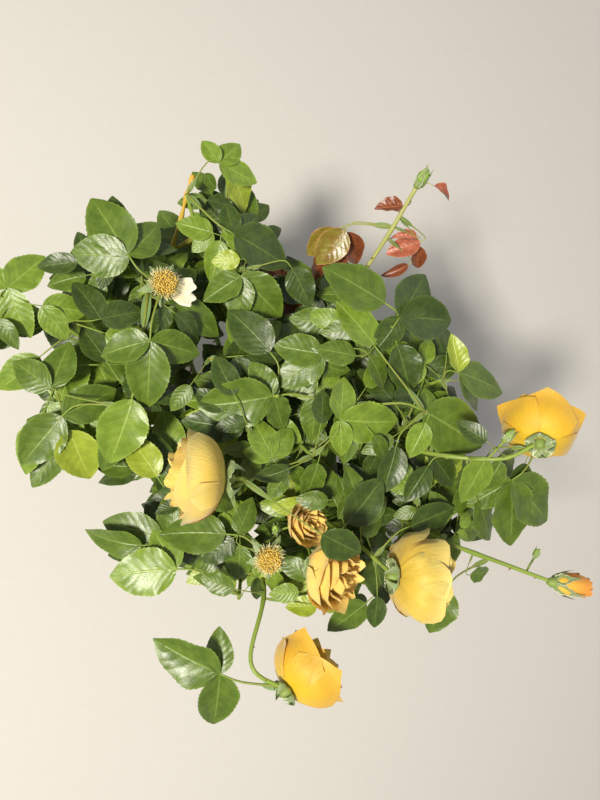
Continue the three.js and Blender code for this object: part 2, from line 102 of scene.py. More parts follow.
# The growing rule's clearances and sizes, as the solids have them
JOINT_GAP = 0.3
CELL_MARGIN = 0.4
LIMB_MARGIN = 3.5
LEAF_SPACING = 8.0
SHOOT_MARGIN = 4.0
LOWEST_LEAF = 70.0
STEM_PROFILE = ((24, 0), (17.5, 5), (13.5, 16), (13, 27), (18, 38), (19.5, 47), (15, 57), (6, 62))
STEM_TOP = 63.0
STEM_TOP_RADIUS = 3.0
STEM_LEAN = 0.06
CROWN_HEIGHT = 45.0
CROWN_SPREAD = 9.5
CROWN_SPREAD_SHARE = 0.1
CANE_RADIUS = 5.4
BOUGH_RADIUS = 4.1
LIMB_TIP_RADIUS = 2.9
KNEE_SHARE = 0.45
LIMB_POSTS = 30
SHOOT_POSTS = 24
STRAIGHT_START = 26.0
FORK_FIRST = 0.1
FORK_STEP = 0.08
SHOOT_ARCH = 14.0
SHOOT_ARCH_SHARE = 0.4
SHOOT_RADIUS = 3.0
SIDE_SHOOT_RADIUS = 2.3
SHOOT_TIP_RADIUS = 1.8
LEAFLET_LENGTH = 63.0
LEAFLET_WIDTH_SHARE = 0.68
LEAFLET_TESTS = ((0.12, 0.2), (0.3, 0.5), (0.5, 0.48), (0.68, 0.38), (0.86, 0.2), (1, 0))
PAIR_ANGLE = 74.0
PAIRS = ((0.34, 0.7), (0.72, 0.86))
TWO_PAIR_SHARE = 0.6
SHORT_STALK = 46.0
LONG_STALK = 66.0
LEAF_SIZE = (0.86, 1.08)
STALK_PITCH = (2.0, 24.0)
HEADING_WOBBLE = 14.0
BLADE_ROLL = 16.0
BLADE_DIP = 0.14
SPIRAL_STEP = 144.0
LEAF_SPAN = (0.3, 0.96)
CROWN_MIDDLE = np.array([-21.0, 30.0])
SEED = 205
SEED_STEP = 17
SIZE_TRIES = (1.0, 0.8, 0.64)
HEADING_TRIES = (0, 30, -30, 60, -60, 95, -95, 130, -130, 165)
STALK_TESTS = (0.3, 0.55, 0.8, 1.0)

# Leaves that the photograph shows and finer ones, with the places kept free on the way to the camera
FINE_SEED = 31
FINE_SPACING = 4.6
FINE_WALL_REACH = 16.0
FINE_ROUNDS = 3
FINE_LEAF_SIZE = (0.66, 1.0)
SEEN_ROLL = 0.3
SEEN_BREADTH = 1.0
SIGHT_STEPS = (18.0, 40.0, 70.0, 110.0)

# Seeds of the bark, and the net of a thorn
STEM_SEED = 7
LIMB_SEED = 40
THORN_RINGS = 5
THORN_SIDES = 6

# The camera: where it stands, its axes, and the picture that it takes, with its scale of brightness
EYE = np.array([-147.0, 30.0, 1000.0])
LOOK = np.array([0.254, 0.0, -0.967])
RIGHT = np.array([-LOOK[2], 0.0, LOOK[0]])
BACK = np.array([0.0, 1.0, 0.0])
SCREEN_WHITE = 255
SCREEN_GAMMA = 2.2
PICTURE_WIDTH = 600
PICTURE_HEIGHT = 800
FOCUS_PIXELS = 600.0
SENSOR_SIDE = 36.0


def unit(vector: Array) -> Array:
    """Returns the vector, or each row, at length one."""
    return vector / np.linalg.norm(vector, axis=-1, keepdims=True)


def lerp(start: Array, stop: Array, share: float) -> Array:
    """Returns the point at this share of the way from start to stop."""
    return start + (stop - start) * share


def turned(vector: Array, axis: Array, angle: float) -> Array:
    """Returns the vector turned about a unit axis by an angle in radians."""
    along = axis * np.dot(axis, vector)
    return along + (vector - along) * math.cos(angle) + np.cross(axis, vector) * math.sin(angle)


def heading(bearing: float, climb: float) -> Array:
    """Returns the unit direction with this bearing in plan, in radians, and this climb, up over along."""
    return unit(np.array([math.cos(bearing), math.sin(bearing), climb]))


def face_up(along: Array, roll: float = 0.0) -> Array:
    """Returns the upward normal of a blade that points along, rolled about it by an angle in radians."""
    return turned(unit(np.cross(along, np.cross(UP, along))), along, roll)


def picture_point(across: float, down: float, height: float) -> Array:
    """Finds what a pixel of the photograph shows.

    The sight line is eye + distance x (forward + right x + up y), with x and y in focus lengths.

    Args:
        across: pixel column in the 600 by 800 frame.
        down: pixel row in that frame.
        height: height of the point above the ground.

    Returns:
        The point at that height on the pixel's sight line.
    """
    x = (across - PICTURE_WIDTH / 2) / FOCUS_PIXELS
    y = (PICTURE_HEIGHT / 2 - down) / FOCUS_PIXELS
    ray = LOOK + RIGHT * x + BACK * y
    return EYE + ray * (height - EYE[2]) / ray[2]


class Dice:
    """Seeded numbers from 0 to 1, drawn as the solids' rule draws them."""

    MASK = 0xFFFFFFFF
    STEP = 0x6D2B79F5

    def __init__(self, seed: int) -> None:
        """Starts the row of numbers that belongs to a seed."""
        self.state = seed & self.MASK

    def roll(self) -> float:
        """Returns the next number."""
        self.state = (self.state + self.STEP) & self.MASK
        mixed = (self.state ^ (self.state >> 15)) * (1 | self.state) & self.MASK
        mixed ^= (mixed + ((mixed ^ (mixed >> 7)) * (61 | mixed) & self.MASK)) & self.MASK
        return (mixed ^ (mixed >> 14)) / (self.MASK + 1)

    def between(self, low: float, high: float) -> float:
        """Returns the next number stretched to run from low to high."""
        return low + (high - low) * self.roll()


@dataclass(frozen=True)
class SmoothCurve:
    """A curve through its knots whose slope at a knot is half the step between the knots beside it."""

    knots: Array

    def at(self, share: float | Array) -> Array:
        """Finds points on the curve.

        Between two knots the point is a cubic of the share that meets both ends with their slopes.

        Args:
            share: one share or an array of shares, from 0 at the first knot to 1 at the last.

        Returns:
            One point, or a row for each share.
        """
        before_first = 2 * self.knots[0] - self.knots[1]
        after_last = 2 * self.knots[-1] - self.knots[-2]
        knots = np.vstack([before_first, self.knots, after_last])
        place = np.clip(np.asarray(share, float), 0, 1) * (len(self.knots) - 1)
        span = np.minimum(np.floor(place).astype(int), len(self.knots) - 2)
        w = (place - span)[..., None]
        before, start, stop, after = (knots[span + step] for step in range(4))
        leave = (stop - before) / 2
        arrive = (after - start) / 2
        square = 3 * (stop - start) - 2 * leave - arrive
        cube = 2 * (start - stop) + leave + arrive
        return start + leave * w + square * w**2 + cube * w**3

    def along(self, share: float) -> Array:
        """Returns the unit direction of the curve at a share."""
        return unit(self.at(min(share + 1e-4, 1.0)) - self.at(max(share - 1e-4, 0.0)))

    def posts(self, count: int) -> Array:
        """Returns count + 1 points at even shares from end to end."""
        return self.at(np.linspace(0, 1, count + 1))


class Flower(Enum):
    """What a shoot bears at its tip."""

    BLOOM = "bloom"
    COLOUR_BUD = "colour_bud"
    GREEN_BUD = "green_bud"
    SPENT = "spent"


@dataclass(frozen=True)
class LimbPlan:
    """A cane or bough: its tip, its arch, its parent and the share of the parent that it leaves at."""

    name: str
    tip: Triple
    arch: float
    parent: str = "crown"
    share: float = 0.0


@dataclass(frozen=True)
class ShootPlan:
    """A shoot: tip, bends on the way, number of leaves, heading of the lowest leaf and what it bears.

    It may have its own reach, leaf size and span, the shares of its length that leaves sit between.
    """

    tip: Triple
    leaves: int
    turn: float
    via: tuple[Triple, ...] = ()
    reach: float | None = None
    size: float = 1.0
    span: Pair = LEAF_SPAN
    bears: Flower | None = None
    faces: Triple = (0.0, 0.0, 1.0)
    head_size: float = 1.0
    young: bool = False


@dataclass(frozen=True)
class MassPlan:
    """A leafy mass: its limb, its heart and reach in plan, and its shoots, the main one first."""

    name: str
    limb: str
    heart: Pair
    reach: float
    shoots: tuple[ShootPlan, ...]


LIMBS = (
    LimbPlan("cane_left", (-122, 46, 192), 16),
    LimbPlan("cane_back", (-62, 150, 192), 16),
    LimbPlan("cane_right", (104, 4, 214), 16),
    LimbPlan("cane_front", (46, -98, 206), 16),
    LimbPlan("cane_near_left", (-68, -66, 186), 14),
    LimbPlan("cane_middle", (-6, 22, 212), 4),
    LimbPlan("bough_upper_left", (-102, 118, 206), 8, "cane_left", 0.5),
    LimbPlan("bough_back_right", (42, 112, 210), 8, "cane_back", 0.42),
    LimbPlan("bough_front_right", (134, -82, 222), 8, "cane_right", 0.5),
    LimbPlan("bough_front_left", (-14, -124, 206), 8, "cane_front", 0.46),
)

MASSES = (
    MassPlan("foliage_left", "cane_left", (-208, 62), 262, (
        ShootPlan((-262, 128, 374), 4, 300, via=((-190, 84, 322),), reach=296),
        ShootPlan((-238, 66, 356), 4, 250),
        ShootPlan((-208, 18, 330), 4, 200),
        ShootPlan((-190, 72, 186), 3, 170),
        ShootPlan((-160, 22, 388), 4, 280),
    )),
    MassPlan("foliage_upper_left", "bough_upper_left", (-142, 170), 218, (
        ShootPlan((-128, 141, 408), 4, 255, via=((-148, 134, 372),), bears=Flower.SPENT, faces=(0.25, 0, 1)),
        ShootPlan((-166, 164, 396), 5, 150, reach=257),
        ShootPlan((-112, 186, 318), 5, 60),
        ShootPlan((-168, 160, 204), 5, 130),
        ShootPlan((-104, 146, 340), 4, 20),
    )),
    MassPlan("foliage_back", "cane_back", (-84, 226), 236, (
        ShootPlan((-104, 236, 390), 3, 100, via=((-88, 200, 344),), span=(0.3, 0.8)),
        ShootPlan((-62, 236, 380), 4, 60, reach=266),
        ShootPlan((-44, 190, 360), 4, 10),
        ShootPlan((-76, 204, 190), 4, 90),
        ShootPlan((-50, 160, 398), 4, 330),
    )),
    MassPlan("foliage_back_right", "bough_back_right", (44, 168), 185, (
        ShootPlan((104, 233, 482), 3, 72, via=((52, 122, 372), (83, 182, 438)), reach=240, size=0.55,
                  span=(0.5, 0.82), bears=Flower.GREEN_BUD, faces=(0.25, 0.6, 0.75), young=True),
        ShootPlan((40, 184, 410), 2, 120, reach=200, size=0.6, span=(0.8, 0.96), young=True),
        ShootPlan((92, 108, 446), 4, 95),
        ShootPlan((110, 130, 286), 3, 30),
        ShootPlan((44, 170, 212), 3, 80),
    )),
    MassPlan("foliage_right", "cane_right", (176, 26), 222, (
        ShootPlan((223, -11, 500), 4, 320, via=((122, -20, 412), (186, -28, 480)), bears=Flower.BLOOM,
                  faces=(0.5, 0.52, -0.66)),
        ShootPlan((158, 52, 428), 4, 40),
        ShootPlan((158, 72, 352), 4, 20),
        ShootPlan((178, 8, 226), 3, 350),
        ShootPlan((126, 18, 452), 4, 320),
    )),
    MassPlan("foliage_front_right", "bough_front_right", (182, -104), 250, (
        ShootPlan((259, -156, 475), 3, 60, via=((138, -108, 428), (222, -142, 462)), size=0.6,
                  span=(0.3, 0.64), bears=Flower.COLOUR_BUD, faces=(0.93, -0.15, 0.1)),
        ShootPlan((140, -122, 436), 4, 310),
        ShootPlan((206, -62, 452), 4, 340, reach=300),
        ShootPlan((164, -106, 226), 4, 330),
        ShootPlan((130, -72, 424), 3, 270),
    )),
    MassPlan("foliage_front", "cane_front", (60, -128), 258, (
        ShootPlan((88, -140, 465), 3, 330, via=((62, -112, 380),), bears=Flower.BLOOM,
                  faces=(0.9, -0.15, 0.06)),
        ShootPlan((14, -132, 440), 3, 100, bears=Flower.BLOOM, faces=(0.86, 0.1, 0.18), head_size=0.9),
        ShootPlan((52, -172, 380), 4, 280, size=0.8),
        ShootPlan((84, -160, 220), 3, 300),
        ShootPlan((66, -70, 410), 3, 60),
        ShootPlan((20, -86, 322), 3, 200),
    )),
    MassPlan("foliage_front_left", "bough_front_left", (-36, -196), 232, (
        ShootPlan((-9, -256, 425), 2, 23, via=((-22, -168, 372), (-44, -228, 418)), reach=330,
                  span=(0.45, 0.75), bears=Flower.BLOOM, faces=(0.77, 0.4, -0.36)),
        ShootPlan((-26, -128, 412), 3, 340, bears=Flower.SPENT, faces=(0, 0, 1)),
        ShootPlan((-50, -176, 380), 3, 180),
        ShootPlan((-36, -180, 204), 4, 250),
        ShootPlan((6, -182, 356), 4, 300, size=0.8),
    )),
    MassPlan("foliage_near_left", "cane_near_left", (-104, -78), 198, (
        ShootPlan((-73, -42, 450), 3, 200, via=((-58, -60, 372), (-52, -46, 434)), bears=Flower.BLOOM,
                  faces=(-0.95, 0.05, -0.1), head_size=1.05),
        ShootPlan((-84, -128, 344), 4, 180, reach=238),
        ShootPlan((-104, -92, 366), 4, 230),
        ShootPlan((-124, -44, 330), 4, 190),
        ShootPlan((-104, -86, 184), 3, 220),
    )),
    MassPlan("foliage_middle", "cane_middle", (-10, 30), 185, (
        ShootPlan((-22, 34, 440), 4, 180),
        ShootPlan((54, 22, 434), 3, 0),
        ShootPlan((-84, 70, 410), 3, 150),
        ShootPlan((24, 84, 424), 3, 60),
        ShootPlan((-44, -4, 420), 4, 210),
        ShootPlan((16, -26, 428), 3, 300),
    )),
)

# Room that every head needs: how far its middle lies along its axis and how far it reaches
HEAD_ROOM = {
    Flower.BLOOM: (26, 43),
    Flower.COLOUR_BUD: (16, 17),
    Flower.GREEN_BUD: (10, 11),
    Flower.SPENT: (6, 20),
}


class Tint(Enum):
    """Leaf tints, dealt out leaf by leaf. Each is partly a leaf's own green and partly painted light: the
    deep tint holds painted shade, the light tint painted sunlight and sheen, and the lime tint painted light
    shining through the blade.
    """

    DEEP = "deep"
    GREEN = "green"
    LIGHT = "light"
    LIME = "lime"
    OLIVE = "olive"
    BRONZE = "bronze"
    BLUSH = "blush"


FinishKey = str | Tint


@dataclass(frozen=True)
class SeenLeaf:
    """A leaf that the photograph shows: pixels of its joint and of its leaflets' tips, and their heights."""

    joint: Pair
    tips: tuple[Pair, ...]
    height: float
    tip_height: float
    tint: Tint = Tint.GREEN
    fold: float = 0.12


# Seen leaves that look dark take the deep tint, which is partly painted shade. Those bright with sun and
# sheen take the light tint, which is partly painted sunlight and sheen. Those lit through take the lime tint,
# which is partly painted light shining through the blade.
SEEN_LEAVES = tuple(SeenLeaf(*row) for row in (
    # Left
    ((7, 288), ((46, 256), (26, 340), (-18, 266)), 384, 374, Tint.LIGHT),
    ((42, 306), ((88, 312), (68, 340)), 392, 384, Tint.LIGHT),
    ((101, 319), ((144, 309), (75, 279)), 400, 394, Tint.DEEP),
    ((150, 341), ((147, 412), (98, 353), (202, 354)), 420, 404),
    ((132, 399), ((112, 469),), 402, 386, Tint.LIGHT),
    ((51, 388), ((10, 361), (68, 340)), 376, 366),
    ((62, 416), ((18, 465), (117, 389)), 374, 362),
    ((69, 430), ((88, 483),), 370, 350, Tint.LIME, 0.3),
    ((60, 402), ((78, 344),), 350, 340, Tint.LIGHT),
    # Upper left and back
    ((128, 255), ((90, 194), (163, 222), (88, 273), (67, 255)), 424, 416),
    ((219, 163), ((257, 184), (203, 139), (241, 142)), 404, 398, Tint.LIGHT),
    ((231, 170), ((250, 211),), 388, 374, Tint.LIME),
    ((204, 174), ((217, 189),), 392, 386),
    ((213, 233), ((175, 222), (191, 251)), 384, 378, Tint.LIGHT),
    ((234, 234), ((291, 264), (224, 202), (262, 214)), 404, 396, Tint.DEEP),
    ((240, 259), ((211, 262),), 410, 404, Tint.LIME),
    ((241, 276), ((203, 302), (238, 324), (284, 318)), 414, 402),
    ((292, 268), ((312, 306),), 420, 410, Tint.DEEP),
    # Middle
    ((270, 352), ((230, 306),), 424, 416, Tint.DEEP),
    ((323, 354), ((273, 347), (277, 386)), 440, 430),
    ((356, 356), ((316, 347),), 444, 440),
    ((340, 420), ((345, 375), (342, 458), (403, 425)), 446, 440, Tint.LIGHT),
    ((273, 396), ((197, 410), (251, 360), (286, 432)), 432, 422),
    ((272, 457), ((251, 413), (293, 426), (243, 449)), 426, 418, Tint.LIGHT),
    ((318, 463), ((305, 503),), 420, 412),
    ((347, 523), ((385, 480),), 440, 446, Tint.DEEP, 0.3),
    ((396, 446), ((384, 495),), 448, 440, Tint.DEEP, 0.4),
    # Back right
    ((385, 303), ((324, 264),), 452, 444, Tint.GREEN, 0.02),
    ((374, 345), ((339, 299),), 448, 440, Tint.LIGHT),
    ((400, 317), ((430, 270), (376, 354), (457, 318)), 456, 446, Tint.DEEP),
    ((370, 357), ((389, 388),), 444, 436),
    ((397, 345), ((414, 394),), 448, 440, Tint.DEEP, 0.3),
    ((456, 366), ((420, 370),), 430, 426, Tint.DEEP),
    ((459, 372), ((453, 334),), 436, 444, Tint.LIME, 0.5),
    # Right
    ((460, 373), ((506, 388), (486, 407)), 436, 428),
    ((424, 411), ((487, 446),), 452, 444),
    ((426, 423), ((409, 459),), 452, 446, Tint.LIGHT),
    ((429, 452), ((457, 485),), 440, 432, Tint.DEEP),
    ((428, 466), ((405, 502),), 446, 438, Tint.DEEP, 0.3),
    ((410, 526), ((455, 508),), 440, 436, Tint.DEEP),
    ((486, 458), ((462, 504),), 466, 456, Tint.LIGHT),
    ((501, 461), ((484, 493),), 464, 456),
    ((512, 480), ((467, 507), (552, 523), (512, 548)), 462, 446),
    ((478, 502), ((495, 542),), 448, 438),
    ((525, 463), ((512, 494),), 458, 448, Tint.DEEP),
    # Lower right and front
    ((322, 534), ((364, 557),), 492, 488, Tint.DEEP),
    ((448, 590), ((431, 636),), 392, 380),
    ((470, 575), ((490, 572),), 440, 434),
    ((299, 592), ((269, 595),), 398, 394, Tint.LIGHT),
    ((317, 606), ((286, 607),), 394, 392, Tint.LIME),
    ((322, 604), ((350, 602),), 394, 392, Tint.LIME),
    ((366, 603), ((328, 634),), 396, 386),
    # Lower left
    ((177, 569), ((108, 573), (151, 530)), 370, 354, Tint.LIGHT),
    ((226, 534), ((159, 531),), 376, 364),
    ((233, 538), ((202, 564),), 374, 364, Tint.DEEP),
    ((238, 534), ((253, 497),), 380, 372),
    ((240, 545), ((238, 582),), 372, 364),
    ((220, 674), ((151, 642), (220, 626), (213, 730)), 410, 398, Tint.GREEN, 0.3),
    # Young shoot
    ((345, 230), ((317, 266),), 428, 410, Tint.OLIVE, 0.3),
    ((338, 230), ((306, 256),), 424, 396, Tint.OLIVE, 0.4),
    ((346, 232), ((357, 266),), 422, 396, Tint.BRONZE, 0.5),
    ((338, 240), ((339, 272),), 414, 390, Tint.BLUSH, 0.5),
    ((320, 250), ((317, 281),), 408, 384, Tint.BRONZE, 0.5),
    ((417, 238), ((391, 235),), 444, 440, Tint.BLUSH, 0.8),
    ((420, 242), ((386, 254),), 440, 430, Tint.BLUSH, 0.4),
    ((418, 246), ((418, 270),), 436, 418, Tint.BRONZE, 0.4),
    ((408, 265), ((382, 278),), 424, 414, Tint.BRONZE, 0.8),
    ((403, 206), ((375, 208),), 462, 458, Tint.BRONZE, 0.6),
    ((434, 186), ((452, 198),), 484, 478, Tint.BLUSH, 0.9),
))


# Pixels where the photograph looks past the plant to the ground, and how far around each
OPEN_SIGHTS = (
    ((242, 606), 15), ((238, 640), 13), ((276, 622), 10),
    ((200, 606), 15), ((260, 664), 11), ((264, 645), 9),
    ((300, 628), 8), ((286, 190), 20), ((277, 172), 14),
    ((160, 180), 22), ((140, 205), 12), ((60, 300), 6),
    ((40, 345), 8), ((28, 400), 10), ((140, 490), 14),
    ((520, 400), 14), ((500, 345), 20), ((385, 640), 12),
    ((205, 375), 5),
)
SIGHT_FLOOR = 150.0
SIGHT_CEILING = 480.0


@dataclass(frozen=True)
class Graph:
    """Builds one material's nodes, with the Principled shader as its end."""

    material: Material
    tree: bpy.types.NodeTree
    shader: bpy.types.Node

    @classmethod
    def start(cls, name: str) -> Self:
        """Starts a material.

        Args:
            name: the material's name.

        Returns:
            The graph of a new material that holds the Principled shader and the output alone.
        """
        material = bpy.data.materials.new(name)
        material.use_nodes = True
        tree = material.node_tree
        tree.nodes.clear()
        shader = tree.nodes.new("ShaderNodeBsdfPrincipled")
        output = tree.nodes.new("ShaderNodeOutputMaterial")
        tree.links.new(shader.outputs["BSDF"], output.inputs["Surface"])
        return cls(material, tree, shader)

    def put(self, socket: Socket, value: object) -> None:
        """Links an output to a socket, or sets the socket's own value."""
        if isinstance(value, Socket):
            self.tree.links.new(value, socket)
        else:
            socket.default_value = value

    def set(self, **values: object) -> None:
        """Sets or links the shader's inputs, named in lower case with underscores."""
        for name, value in values.items():
            self.put(self.shader.inputs[name.replace("_", " ").title().replace("Ior", "IOR")], value)

    def node(self, kind: str, inputs: dict[Key, object], output: Key = 0, **options: str) -> Socket:
        """Adds a node.

        Args:
            kind: its kind, without the prefix that all kinds share.
            inputs: a value or an output for each input, by the input's name or number.
            output: the output that is wanted.
            options: the node's own settings.

        Returns:
            That output.
        """
        node = self.tree.nodes.new("ShaderNode" + kind)
        for option, choice in options.items():
            setattr(node, option, choice)
        for key, value in inputs.items():
            self.put(node.inputs[key], value)
        return node.outputs[output]

    def math(self, kind: str, first: object, second: object = 0.0) -> Socket:
        """Returns a Math node's result for one or two values or outputs."""
        return self.node("Math", {0: first, 1: second}, operation=kind)

    def plus(self, first: object, second: object) -> Socket:
        """Returns the sum."""
        return self.math("ADD", first, second)

    def minus(self, first: object, second: object) -> Socket:
        """Returns the first less the second."""
        return self.math("SUBTRACT", first, second)

    def times(self, first: object, second: object) -> Socket:
        """Returns the product."""
        return self.math("MULTIPLY", first, second)

    def step(self, value: object, low: float, high: float) -> Socket:
        """Makes a smooth step.

        Args:
            value: what the step reads.
            low: the value that gives 0.
            high: the value that gives 1, which may be the lower one.

        Returns:
            The step, from 0 to 1.
        """
        first, last = (0.0, 1.0) if low < high else (1.0, 0.0)
        ends = {"From Min": min(low, high), "From Max": max(low, high), "To Min": first, "To Max": last}
        return self.node("MapRange", {"Value": value, **ends}, "Result", interpolation_type="SMOOTHSTEP")

    def mix(self, share: object, first: object, second: object) -> Socket:
        """Returns the colour at this share from the first colour to the second."""
        return self.node("Mix", {0: share, 6: first, 7: second}, 2, data_type="RGBA")

    def vector(self, x: object, y: object) -> Socket:
        """Returns a level vector made of two values or outputs."""
        return self.node("CombineXYZ", {0: x, 1: y})

    def surface_map(self) -> tuple[Socket, Socket]:
        """Returns both coordinates of the piece's own map."""
        spot = self.node("UVMap", {}, uv_map=Sheaf.MAP)
        return self.node("SeparateXYZ", {0: spot}, 0), self.node("SeparateXYZ", {0: spot}, 1)

    def place(self) -> Socket:
        """Returns the point in the object's own space, in metres."""
        return self.node("TexCoord", {}, "Object")

    def stretched(self, vector: object, scale: Triple) -> Socket:
        """Returns a vector scaled along each axis."""
        return self.node("Mapping", {"Vector": vector, "Scale": scale})

    def noise(self, vector: object, scale: float, detail: float = 3.0) -> Socket:
        """Returns cloudy noise from 0 to 1 at a scale."""
        return self.node("TexNoise", {"Vector": vector, "Scale": scale, "Detail": detail})

    def cells(self, vector: object, scale: float) -> Socket:
        """Returns the distance to the nearest of many scattered points."""
        return self.node("TexVoronoi", {"Vector": vector, "Scale": scale}, "Distance")

    def relief(self, height: object, depth: float, strength: float = 1.0) -> None:
        """Sets the shader's normal from a height field whose full step is depth metres."""
        self.set(normal=self.node("Bump", {"Height": height, "Distance": depth, "Strength": strength}))


def colour(red: float, green: float, blue: float) -> tuple[float, float, float, float]:
    """Returns the linear colour of screen values, by the usual curve."""
    return (*((value / SCREEN_WHITE) ** SCREEN_GAMMA for value in (red, green, blue)), 1.0)


@dataclass(frozen=True)
class LeafFinish:
    """Glossy blade of a leaflet: paler midrib and side veins, mottled cells and a thin light margin."""

    name: str
    blade: Shade
    shade: Shade
    vein: Shade
    gloss: float = 0.4
    veins: int = 7
    margin: float = 0.3
    under: Shade = (134, 158, 104)

    def make(self) -> Material:
        """Builds the material on the leaflet's own map.

        The midrib lies where the map's first coordinate is one half. Side veins lie where the second
        coordinate, less a share of the distance from the midrib, meets a whole step, so that they run forward
        to the margin.

        Returns:
            The material.
        """
        g = Graph.start(self.name)
        across, along = g.surface_map()
        away = g.times(g.math("ABSOLUTE", g.minus(across, 0.5)), 2.0)
        rib = g.step(away, 0.06, 0.015)
        vector = g.vector(g.times(across, 0.7), along)
        cloud = g.noise(vector, 5.0)
        bow = g.plus(g.times(away, 0.3), g.times(cloud, 0.07))
        lines = g.times(g.minus(along, bow), float(self.veins))
        off_line = g.math("ABSOLUTE", g.minus(g.math("FRACT", g.plus(lines, 8.0)), 0.5))
        side_vein = g.times(g.step(off_line, 0.06, 0.0), g.step(away, 0.95, 0.4))
        cell = g.cells(vector, 38.0)
        pattern = g.plus(g.times(g.step(cloud, 0.3, 0.7), 0.75), g.times(cell, 0.4))
        blade = g.mix(pattern, colour(*self.shade), colour(*self.blade))
        blade = g.mix(g.times(side_vein, 0.26), blade, colour(*self.vein))
        blade = g.mix(g.times(rib, 0.55), blade, colour(*self.vein))
        blade = g.mix(g.times(g.step(away, 0.82, 0.94), self.margin), blade, colour(*self.vein))
        behind = g.node("NewGeometry", {}, "Backfacing")
        g.set(base_color=g.mix(g.times(behind, 0.55), blade, colour(*self.under)))
        swell = g.times(g.step(off_line, 0.0, 0.45), 0.5)
        height = g.minus(g.plus(swell, g.times(cell, 0.3)), rib)
        g.relief(height, 0.0006, 0.45)
        g.set(roughness=g.plus(g.times(cloud, 0.2), self.gloss - 0.12))
        g.set(specular_ior_level=0.62, sheen_weight=0.1, sheen_roughness=0.5)
        return g.material


@dataclass(frozen=True)
class PetalFinish:
    """Silky petal: deeper at its base, paler to the rim, with fine lengthwise veins."""

    name: str
    base: Shade
    middle: Shade
    rim: Shade

    def make(self) -> Material:
        """Builds the material on the petal's own map, whose second coordinate runs from base to rim.

        Returns:
            The material.
        """
        g = Graph.start(self.name)
        across, along = g.surface_map()
        veins = g.noise(g.vector(g.times(across, 22.0), g.times(along, 1.6)), 2.2, 4.0)
        cloud = g.noise(g.vector(across, along), 3.0)
        reach = g.plus(along, g.times(g.minus(cloud, 0.5), 0.35))
        tone = g.mix(g.step(reach, 0.0, 0.5), colour(*self.base), colour(*self.middle))
        tone = g.mix(g.step(reach, 0.5, 1.05), tone, colour(*self.rim))
        g.set(base_color=g.mix(g.times(g.step(veins, 0.48, 0.7), 0.3), tone, colour(*self.base)))
        g.relief(g.plus(veins, g.times(cloud, 1.4)), 0.0012, 0.5)
        g.set(roughness=g.plus(g.times(veins, 0.1), 0.48))
        g.set(subsurface_weight=0.18, subsurface_radius=(0.012, 0.008, 0.003), subsurface_scale=0.5)
        g.set(sheen_weight=0.25)
        return g.material


@dataclass(frozen=True)
class StemFinish:
    """Skin of a green stem, read along its own map: mottled, changing to the tip, with fine grooves."""

    name: str
    foot: Shade
    tip: Shade
    fleck: Shade
    roughness: float = 0.45

    def make(self) -> Material:
        """Builds the material on the stem's own map, whose second coordinate runs from foot to tip.

        Returns:
            The material.
        """
        g = Graph.start(self.name)
        round_stem, along = g.surface_map()
        vector = g.vector(g.times(round_stem, 6.0), g.times(along, 9.0))
        groove = g.noise(vector, 2.4)
        fleck = g.cells(vector, 2.6)
        skin = g.mix(along, colour(*self.foot), colour(*self.tip))
        skin = g.mix(g.times(g.step(fleck, 0.2, 0.05), 0.6), skin, colour(*self.fleck))
        g.set(base_color=g.mix(g.times(g.step(groove, 0.55, 0.75), 0.35), skin, colour(*self.fleck)))
        g.relief(groove, 0.0006, 0.6)
        g.set(roughness=g.plus(g.times(groove, 0.2), self.roughness - 0.1))
        return g.material


@dataclass(frozen=True)
class BarkFinish:
    """Bark read in the object's own space: long fibres, cracks and pale corky flecks."""

    name: str
    old: Shade
    young: Shade
    crack: Shade
    cork: Shade
    low: float
    high: float

    def make(self) -> Material:
        """Builds the material, old bark below the low height and young skin above the high one.

        Returns:
            The material.
        """
        g = Graph.start(self.name)
        place = g.place()
        upward = g.node("SeparateXYZ", {0: place}, 2)
        fibre = g.noise(g.stretched(place, (1.0, 1.0, 0.18)), 420.0, 5.0)
        cloud = g.noise(place, 60.0)
        height = g.plus(upward, g.times(g.minus(cloud, 0.5), 0.05))
        age = g.step(height, self.low * METRES, self.high * METRES)
        skin = g.mix(age, colour(*self.old), colour(*self.young))
        skin = g.mix(g.times(g.step(fibre, 0.5, 0.72), 0.7), skin, colour(*self.crack))
        flecks = g.step(g.cells(g.stretched(place, (1.0, 1.0, 0.5)), 380.0), 0.26, 0.1)
        g.set(base_color=g.mix(g.times(flecks, 0.55), skin, colour(*self.cork)))
        g.relief(g.plus(fibre, g.times(flecks, 0.5)), 0.0018, 0.8)
        g.set(roughness=g.plus(g.times(fibre, 0.25), 0.5))
        return g.material


@dataclass(frozen=True)
class FloorFinish:
    """Plain pale floor."""

    name: str = "pale_floor"

    def make(self) -> Material:
        """Returns the material, a pale plaster with a faint grain."""
        g = Graph.start(self.name)
        grain = g.noise(g.place(), 90.0)
        g.set(base_color=g.mix(g.times(grain, 0.4), colour(226, 222, 214), colour(214, 210, 202)))
        g.relief(grain, 0.0005, 0.3)
        g.set(roughness=0.85)
        return g.material


